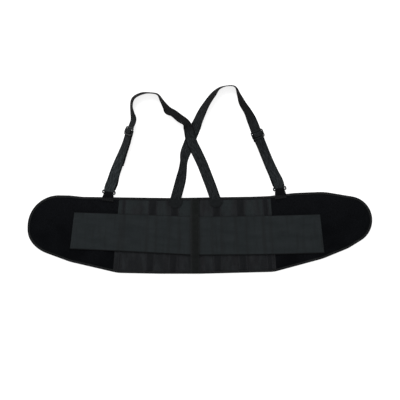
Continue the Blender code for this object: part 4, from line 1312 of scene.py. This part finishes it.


# How pale the webbing is: pale where hands rub it, and dark with painted shade where it stands on its
# edge in the loops. Way is a share of the strap's course from the belt to its ring.
WearAndShade = namedtuple("WearAndShade", "way paleness")
STRAP_WEAR_AND_SHADE = {
    "right": [
        WearAndShade(0.00, 0.42), WearAndShade(0.25, 0.56), WearAndShade(0.38, 0.44), WearAndShade(0.46, 0.12), WearAndShade(0.63, 0.10),
        WearAndShade(0.72, 0.42), WearAndShade(0.80, 0.46), WearAndShade(0.94, 0.78), WearAndShade(1.00, 0.60),
    ],
    "left": [
        WearAndShade(0.00, 0.54), WearAndShade(0.27, 0.60), WearAndShade(0.34, 0.20), WearAndShade(0.45, 0.18), WearAndShade(0.51, 0.05),
        WearAndShade(0.64, 0.08), WearAndShade(0.70, 0.38), WearAndShade(0.79, 0.50), WearAndShade(0.92, 0.94), WearAndShade(1.00, 0.90),
    ],
}
webbing = webbing_finish()
for side, carrier in STRAPS:
    node = side.name + "_shoulder_strap"
    strap_mesh, strap_length = build_strap(node + "_webbing", carrier, side.tail, STRAP_WEAR_AND_SHADE[side.name])
    finish_piece(node + "_webbing", strap_mesh, webbing, node)
    print(node, len(strap_mesh.polygons), "faces,", round(strap_length, 3), "m of webbing")

# %% [markdown]
# ## Sliders and rings
#
# The fittings are moulded in a glossy black plastic, with soft edges that catch a bright line of light.
# Each is a plate with holes: its outline and holes are stepped through a rounded edge profile, and the
# two flat sides are filled. They are placed on the strap by the curve that carries it.

# %% Moulded plates
PLATE_ARC = 11.25
EDGE_STEPS = 4
SLIDER_CORNER = 0.006
SLIDER_EDGE = 0.0008
RING_CORNER = 0.0045
RING_EDGE = 0.0016


def box_corners(half_width, half_height, middle=(0, 0)):
    """The four corners of an upright box, anticlockwise."""
    signs = [(-1, -1), (1, -1), (1, 1), (-1, 1)]
    return [Vector((middle[0] + half_width * x, middle[1] + half_height * y)) for x, y in signs]


def moulded_plate(name, outer, holes, thickness, edge):
    """A moulded plate with holes and rounded edges, its mid-plane at height 0."""
    angles = [math.pi / 2 * step / EDGE_STEPS for step in range(EDGE_STEPS + 1)]
    levels = [(edge * (1 - math.sin(angle)), edge * (1 - math.cos(angle))) for angle in angles]
    profile = [(narrowing, rise - thickness / 2) for narrowing, rise in levels]
    profile += [(narrowing, thickness / 2 - rise) for narrowing, rise in reversed(levels)]
    bm = bmesh.new()
    caps = ([], [])
    for loop, sign in [(outer, 1)] + [(hole, -1) for hole in holes]:
        rings = []
        for narrowing, height in profile:
            edge_line = inset(loop, sign * narrowing)
            rings.append([bm.verts.new((point.x, point.y, height)) for point in edge_line])
        for ring in (rings[0], rings[-1]):
            for i, vertex in enumerate(ring):
                bm.edges.new((vertex, ring[(i + 1) % len(ring)]))
        for lower, upper in zip(rings, rings[1:]):
            for i in range(len(lower)):
                after = (i + 1) % len(lower)
                bm.faces.new((lower[i], lower[after], upper[after], upper[i]))
        caps[0].extend(rings[0])
        caps[1].extend(rings[-1])
    for cap in caps:
        members = set(cap)
        edges = [line for line in bm.edges if line.verts[0] in members and line.verts[1] in members]
        bmesh.ops.triangle_fill(bm, use_beauty=True, use_dissolve=False, edges=edges)
    bmesh.ops.remove_doubles(bm, verts=list(bm.verts), dist=1e-7)
    bmesh.ops.recalc_face_normals(bm, faces=list(bm.faces))
    mesh = bpy.data.meshes.new(name)
    bm.to_mesh(mesh)
    bm.free()
    return mesh


def plastic_finish():
    """Glossy black moulded plastic with a faint mould grain and rubbed patches."""
    finish = new_finish("moulded plastic", 0.34, 0.12)
    place = table_place(finish)
    grain = mottle(finish, place, 0.0008, 2)
    rubbed = mottle(finish, place, 0.007, 3)
    set_colour(finish, between_colours(finish, rubbed, (0.0050, 0.0062, 0.0064), (0.0095, 0.0112, 0.0114)))
    rough = add_step(finish, "ShaderNodeMapRange", [("Value", rubbed), ("To Min", 0.18), ("To Max", 0.42)])
    shader = finish.node_tree.nodes["Principled BSDF"]
    finish.node_tree.links.new(rough.outputs["Result"], shader.inputs["Roughness"])
    set_relief(finish, (rubbed, 0.0003), (grain, 0.00006))
    return finish


# %% Both sliders and both rings
plastic = plastic_finish()
half_slot = STRAP_WIDTH / 2 + PLAY
slider_outer = rounded(
    box_corners(half_slot + SIDE_RAIL, MIDDLE_BAR / 2 + SLOT + END_BAR), [SLIDER_CORNER] * 4, PLATE_ARC,
    closed=True)
slider_holes = []
for sign in (-1, 1):
    hole = box_corners(half_slot, SLOT / 2, (0, sign * (MIDDLE_BAR + SLOT) / 2))
    slider_holes.append(rounded(hole, [SLIDER_EDGE] * 4, 30, closed=True))
ring_hole = rounded(box_corners(half_slot, RING_OPENING / 2), [RING_EDGE] * 4, 2 * PLATE_ARC, closed=True)
ring_outer = rounded(
    box_corners(half_slot + RING_BAR, RING_OPENING / 2 + RING_BAR), [RING_CORNER] * 4, PLATE_ARC,
    closed=True)

for side, carrier in STRAPS:
    slider_run, ring_run = fitting_runs(carrier)
    slider_node = side.name + "_slider"
    slider_mesh = moulded_plate(
        slider_node + "_plate", slider_outer, slider_holes, SLIDER_THICKNESS, SLIDER_EDGE)
    slider_mesh.transform(carrier.placing(slider_run, SLIDER_RISE))
    finish_piece(slider_node + "_plate", slider_mesh, plastic, slider_node)
    ring_node = side.name + "_ring"
    ring_mesh = moulded_plate(ring_node + "_plate", ring_outer, [ring_hole], RING_BAR, RING_EDGE)
    ring_mesh.transform(carrier.placing(ring_run + RING_SPACING / 2, -PLY / 2))
    finish_piece(ring_node + "_plate", ring_mesh, plastic, ring_node)
    print(side.name, "slider and ring", len(slider_mesh.polygons), len(ring_mesh.polygons), "faces")

# %% [markdown]
# ## The tabs that hold the rings
#
# A short piece of tape is folded round each ring's lower bar and its two plies are sewn on the belt's
# top edge. It is a little wider at the seam than at the ring, so it gathers in small folds. Those folds
# fade out at the bar.

# %% Ring tabs
TAB_HALF = 0.0005
TAB_WRAP = RING_BAR / 2 + AIR + TAB_HALF
TAB_SLACK = 0.0009
TAB_LIP = 0.0012
TAB_HALF_WIDTH = 0.014
TAB_FLARE = 0.003
TAB_SEAT = 0.012
TAB_GATHER = 0.00055
RING_LEVEL = STRAP_THICKNESS / 2 + RING_LIFT - PLY / 2


def build_tab(side, finish):
    """One tab as a folded cloth, gathered towards its seam."""
    bar, down, right = ring_place(side)
    edge = side.tab_reach / math.cos(math.radians(side.lean))
    end = edge + TAB_SEAT
    lower = TAPE_TOP + AIR + TAB_HALF
    upper = lower + 2 * TAB_HALF + AIR
    front = TAB_WRAP + TAB_SLACK
    corners = [
        (end, upper), (edge - TAB_WRAP, upper), (0, RING_LEVEL + TAB_WRAP),
        (-front - TAB_SLACK, RING_LEVEL + TAB_WRAP),
        (-front, RING_LEVEL - TAB_WRAP), (TAB_WRAP / 2, RING_LEVEL - TAB_WRAP), (edge - TAB_WRAP, lower),
        (end, lower),
    ]
    radii = [TAB_WRAP] * len(corners)
    radii[3] = TAB_LIP
    path = rounded([Vector(corner) for corner in corners], radii, PATH_ARC)
    path = evenly(path, 0.0006, closed=False)
    shares = across_shares(26, 0.015, TAB_HALF)
    rings = []
    runs = [0.0]
    for i, point in enumerate(path):
        along = (path[min(i + 1, len(path) - 1)] - path[max(i - 1, 0)]).normalized()
        flare = min(max(point.x / edge, 0), 1)
        half = TAB_HALF_WIDTH + TAB_FLARE * flare
        middle = bar + down * point.x + UP * point.y
        face = (UP * -along.x + down * along.y).normalized()
        on_top = point.x > 0 and i < len(path) / 2
        gather = TAB_GATHER * flare if on_top else 0

        def folds(share):
            return -gather * (1 + math.sin(share * 17 + 2.1 * math.sin(share * 5)))

        rings.append(cloth_ring(middle, right, face, half, TAB_HALF, shares, folds))
        if i:
            runs.append(runs[-1] + (point - path[i - 1]).length)
    node = side.name + "_ring_tab"
    mesh = loft(node + "_cloth", rings, runs, ring_widths(shares, TAB_HALF_WIDTH + TAB_FLARE))
    mark_points(mesh, "paler_share", lambda x, y: 0.6 * eased((bar.y - side.tab_reach - 0.0005 - y) / 0.004))
    return finish_piece(node + "_cloth", mesh, finish, node)


tab_cloth = tape_finish("tab tape", (0.0010, 0.0012, 0.0017), (0.0040, 0.0044, 0.0060))
for side, carrier in STRAPS:
    piece = build_tab(side, tab_cloth)
    print(piece.name, len(piece.data.polygons), "faces")

# %% [markdown]
# ## The patches over the strap ends
#
# The back end of each strap is caught under a half-round patch, straight along the top and round below,
# that is sewn down all round. It is flat at its rim and stands up over the webbing. It is built as rings
# of points that shrink from the rim to the middle, with a second, lower skin below.

# %% Half-round patches
PATCH_WIDTH = 0.044
PATCH_DEPTH = 0.025
PATCH_THICKNESS = 0.001
PATCH_STEPS = 40
PATCH_SLOPE = 0.13
PATCH_SHARES = [1.0, 0.985, 0.96, 0.93, 0.90, 0.87, 0.83, 0.75, 0.6, 0.4, 0.2]
Patch = namedtuple("Patch", "side x straight")
PATCHES = [Patch("right", -0.0733, -0.0082), Patch("left", 0.0473, -0.0063)]


def patch_middle(patch):
    """The place that a patch's rings shrink towards."""
    return Vector((patch.x, patch.straight - PATCH_DEPTH * 0.4, 0))


def patch_rim(patch):
    """The outer edge of a patch: its half-round, then its straight top edge."""
    rim = []
    for step in range(PATCH_STEPS + 1):
        angle = math.pi * step / PATCH_STEPS
        rim.append(Vector((
            patch.x - PATCH_WIDTH / 2 * math.cos(angle), patch.straight - PATCH_DEPTH * math.sin(angle), 0)))
    for step in range(1, PATCH_STEPS // 2):
        rim.append(rim[PATCH_STEPS].lerp(rim[0], 2 * step / PATCH_STEPS))
    return rim


def patch_level(i, share):
    """The height of a patch's lower skin: up over the strap, down at its round rim."""
    climb = 1 if i >= PATCH_STEPS or i == 0 else eased((1 - share) / PATCH_SLOPE)
    return SEAT_LEVEL + (STRAP_THICKNESS + AIR) * climb


def build_patch(patch, finish):
    """One half-round patch, dished down round its rim."""
    middle = patch_middle(patch)
    rim = patch_rim(patch)
    points = []
    count = len(rim)
    for lift in (PATCH_THICKNESS, 0.0):
        for share in PATCH_SHARES:
            for i, place in enumerate(rim):
                level = patch_level(i, share)
                rounding = 0.0003 * (1 - min((1 - share) / 0.03, 1)) * (1 if lift else -1)
                flat = middle + (place - middle) * share
                points.append(Vector((flat.x, flat.y, level + lift - rounding)))
        points.append(Vector((middle.x, middle.y, patch_level(0, 0) + lift)))
    faces = []
    skin = len(PATCH_SHARES) * count + 1
    for layer in (0, 1):
        for j in range(len(PATCH_SHARES) - 1):
            for i in range(count):
                beside = (i + 1) % count
                base = layer * skin + j * count
                faces.append((base + i, base + beside, base + count + beside, base + count + i))
        inner = layer * skin + (len(PATCH_SHARES) - 1) * count
        faces.extend((inner + i, inner + (i + 1) % count, layer * skin + skin - 1) for i in range(count))
    faces.extend((i, (i + 1) % count, skin + (i + 1) % count, skin + i) for i in range(count))
    node = patch.side + "_strap_patch"
    mesh = bpy.data.meshes.new(node + "_cloth")
    mesh.from_pydata(points, [], faces)
    layer = mesh.uv_layers.new(name="cloth")
    for corner, loop in zip(layer.data, mesh.loops):
        corner.uv = mesh.vertices[loop.vertex_index].co.xy
    return finish_piece(node + "_cloth", faced_outwards(mesh), finish, node)


patch_cloth = tape_finish("patch cloth", (0.0070, 0.0084, 0.0094), (0.0150, 0.0170, 0.0182))
for patch in PATCHES:
    piece = build_patch(patch, patch_cloth)
    print(piece.name, len(piece.data.polygons), "faces")

# %% [markdown]
# ## Stitches
#
# Every seam here is sewn with a thick grey thread that shines a little more than the cloth, or with a
# thin black one on the pile. A stitch is
# a tiny grain of thread, repeated hundreds of times, so it is a job for Geometry Nodes: the seams are
# drawn as lines, the tree sets points along them at the machine's pitch, puts a low-poly grain on each,
# turned along its line, makes them real and gives them their finish. The result is kept as a plain mesh.

# %% The sewing tree
def thread_finish(name, dark, light):
    """Twisted thread with a slight shine."""
    finish = new_finish(name, 0.7, 0.10, 0.02)
    place = table_place(finish)
    fibre = mottle(finish, place, 0.0009, 2)
    set_colour(finish, between_colours(finish, fibre, dark, light))
    set_relief(finish, (fibre, 0.0002))
    return finish


def sewing_tree(finish):
    """A node tree that lays stitches along the edges of a mesh of lines."""
    tree = bpy.data.node_groups.new("sewing", "GeometryNodeTree")
    face = tree.interface
    face.new_socket("Seam", in_out="INPUT", socket_type="NodeSocketGeometry")
    for name in ("Pitch", "Stitch length", "Thread"):
        face.new_socket(name, in_out="INPUT", socket_type="NodeSocketFloat")
    face.new_socket("Seed", in_out="INPUT", socket_type="NodeSocketInt")
    face.new_socket("Stitches", in_out="OUTPUT", socket_type="NodeSocketGeometry")
    kinds = {
        "inputs": "NodeGroupInput",
        "line": "GeometryNodeMeshToCurve", "places": "GeometryNodeCurveToPoints",
        "grain": "GeometryNodeMeshUVSphere",
        "uneven": "FunctionNodeRandomValue", "stretch": "ShaderNodeMath",
        "size": "ShaderNodeCombineXYZ", "laid": "GeometryNodeInstanceOnPoints",
        "real": "GeometryNodeRealizeInstances", "smooth": "GeometryNodeSetShadeSmooth",
        "dyed": "GeometryNodeSetMaterial", "outputs": "NodeGroupOutput",
    }
    nodes = {name: tree.nodes.new(kind) for name, kind in kinds.items()}
    nodes["places"].mode = "LENGTH"
    nodes["grain"].inputs["Segments"].default_value = 6
    nodes["grain"].inputs["Rings"].default_value = 4
    nodes["grain"].inputs["Radius"].default_value = 0.5
    nodes["uneven"].data_type = "FLOAT"
    nodes["uneven"].inputs[2].default_value = 0.85
    nodes["uneven"].inputs[3].default_value = 1.12
    nodes["stretch"].operation = "MULTIPLY"
    nodes["dyed"].inputs["Material"].default_value = finish
    joins = [
        ("inputs", "Seam", "line", "Mesh"), ("line", "Curve", "places", "Curve"),
        ("inputs", "Pitch", "places", "Length"), ("inputs", "Seed", "uneven", "Seed"),
        ("uneven", 1, "stretch", 0), ("inputs", "Stitch length", "stretch", 1),
        ("inputs", "Thread", "size", "X"), ("inputs", "Thread", "size", "Y"), ("stretch", 0, "size", "Z"),
        ("places", "Points", "laid", "Points"), ("grain", "Mesh", "laid", "Instance"),
        ("places", "Rotation", "laid", "Rotation"), ("size", "Vector", "laid", "Scale"),
        ("laid", "Instances", "real", "Geometry"), ("real", "Geometry", "smooth", "Geometry"),
        ("smooth", "Geometry", "dyed", "Geometry"), ("dyed", "Geometry", "outputs", "Stitches"),
    ]
    for start, leaving, end, entering in joins:
        tree.links.new(nodes[start].outputs[leaving], nodes[end].inputs[entering])
    return tree


thread = thread_finish("grey thread", (0.010, 0.011, 0.012), (0.030, 0.032, 0.035))
sewing = sewing_tree(thread)


def sew(name, lines, pitch=0.0034, stitch=0.0027, width=0.0006, yarn=thread):
    """Sew along lines of points, and keep the stitches as one plain mesh."""
    points = []
    edges = []
    for line in lines:
        start = len(points)
        points.extend(line)
        edges.extend((start + i, start + i + 1) for i in range(len(line) - 1))
    guide_mesh = bpy.data.meshes.new(name + "_line")
    guide_mesh.from_pydata(points, edges, [])
    guide = bpy.data.objects.new(name + "_line", guide_mesh)
    bpy.context.scene.collection.objects.link(guide)
    modifier = guide.modifiers.new("sewing", "NODES")
    modifier.node_group = sewing
    sizes = {"Pitch": pitch, "Stitch length": stitch, "Thread": width, "Seed": 7}
    for item in sewing.interface.items_tree:
        if item.item_type == "SOCKET" and item.in_out == "INPUT" and item.name in sizes:
            modifier[item.identifier] = sizes[item.name]
    graph = bpy.context.evaluated_depsgraph_get()
    mesh = bpy.data.meshes.new_from_object(guide.evaluated_get(graph))
    bpy.data.objects.remove(guide, do_unlink=True)
    mesh.name = name
    mesh.materials.clear()
    piece = finish_piece(name, mesh, yarn, None)
    print(name, len(mesh.polygons), "faces")
    return piece


# %% Seams of the tape, the channels and the strip
STITCH_RISE = 0.00005
SEAM_MARGIN = 0.0018
STRIP_SEAM_MARGIN = 0.0022
CHANNEL_SEAM_END = 0.002


def raised(line, height):
    """A flat line of points lifted to a height."""
    return [Vector((point.x, point.y, height)) for point in line]


tape_seam = inset(outline, TAPE_WIDTH - SEAM_MARGIN)
sew("tape_stitches", [raised(tape_seam + tape_seam[:1], TAPE_TOP + STITCH_RISE)])

channel_seams = []
channel_top = STAY_LOW + 2 * STAY_HALF + STITCH_RISE
for stay in STAYS:
    half = stay.width * STAY_WIDTH / 2
    high, low = stay_ends(stay.place, half)
    for sign in (-1, 1):
        offset = sign * (half - SEAM_MARGIN)
        levels = (high - CHANNEL_SEAM_END, low + CHANNEL_SEAM_END)
        start, end = [Vector((back_x(stay.place, y) + offset, y, 0)) for y in levels]
        channel_seams.append(raised([start, start.lerp(end, 0.5), end], channel_top))
sew("channel_stitches", channel_seams)

strip_seams = []
for sign in (-1, 1):
    offset = BACK_MIDDLE + sign * (STRIP_WIDTH / 2 - STRIP_SEAM_MARGIN)
    rise = STRIP_HALF + STITCH_RISE
    strip_seams.append([Vector((offset, point.x, point.y + rise)) for point in strip_path])
sew("strip_stitches", strip_seams)

# %% Seams of the band, the patches, the tabs and the panels
BAND_SEAM_STEPS = 30
BAND_SEAM_REACH = 0.95
PATCH_SEAM = 0.94
TAB_SEAM_HALF = 0.0155
TAB_SEAM_LEVEL = 0.00735
PANEL_SEAM_MARGIN = 0.0024
PANEL_SEAM_ENDS = (-0.006, -0.216)


def band_seam(place):
    """A seam across the band, at a share of its length."""
    line = []
    for step in range(BAND_SEAM_STEPS + 1):
        across = -BAND_SEAM_REACH + 2 * BAND_SEAM_REACH * (step / BAND_SEAM_STEPS)
        flat = band_edge(place, False).lerp(band_edge(place, True), (across + 1) / 2)
        level = band_level(flat, across) + BAND_THICKNESS / 2 + STITCH_RISE
        line.append(Vector((flat.x, flat.y, level)))
    return line


band_seams = []
for side in (-1, 1):
    for inward in (0.004, 0.009):
        band_seams.append(band_seam(side * (0.5 - inward / BAND_LENGTH)))
sew("band_stitches", band_seams, pitch=0.0030, stitch=0.0025)

patch_seams = []
for patch in PATCHES:
    middle = patch_middle(patch)
    line = []
    for i, place in enumerate(patch_rim(patch)):
        flat = middle + (place - middle) * PATCH_SEAM
        level = patch_level(i, PATCH_SEAM) + PATCH_THICKNESS + STITCH_RISE
        line.append(Vector((flat.x, flat.y, level)))
    patch_seams.append(line + line[:1])
sew("patch_stitches", patch_seams, pitch=0.0029, stitch=0.0023)

tab_seams = []
for side, carrier in STRAPS:
    bar, down, right = ring_place(side)
    reach = right * TAB_SEAM_HALF
    for run in (side.tab_reach + 0.0030, side.tab_reach + 0.0095):
        middle = bar + down * run
        tab_seams.append(raised([middle + reach, middle, middle - reach], TAB_SEAM_LEVEL))
sew("tab_stitches", tab_seams, pitch=0.0029, stitch=0.0024)

panel_seams = []
for side in (-1, 1):
    point, away = seam_cuts[side]
    ends = [Vector((back_x(side * 0.5, y), y, 0)) - away * PANEL_SEAM_MARGIN for y in PANEL_SEAM_ENDS]
    panel_seams.append(raised([ends[0], ends[0].lerp(ends[1], 0.5), ends[1]], PANEL_TOP - STITCH_RISE))
sew("panel_stitches", panel_seams)

pile_seams = []
for start, end in PILE_LINES.values():
    pile_seams.append(raised([start, start.lerp(end, 0.5), end], PANEL_TOP + 0.0003))
black_thread = thread_finish("black thread", (0.0010, 0.0011, 0.0014), (0.0030, 0.0032, 0.0040))
sew("pile_stitches", pile_seams, pitch=0.0036, stitch=0.0026, width=0.0004, yarn=black_thread)
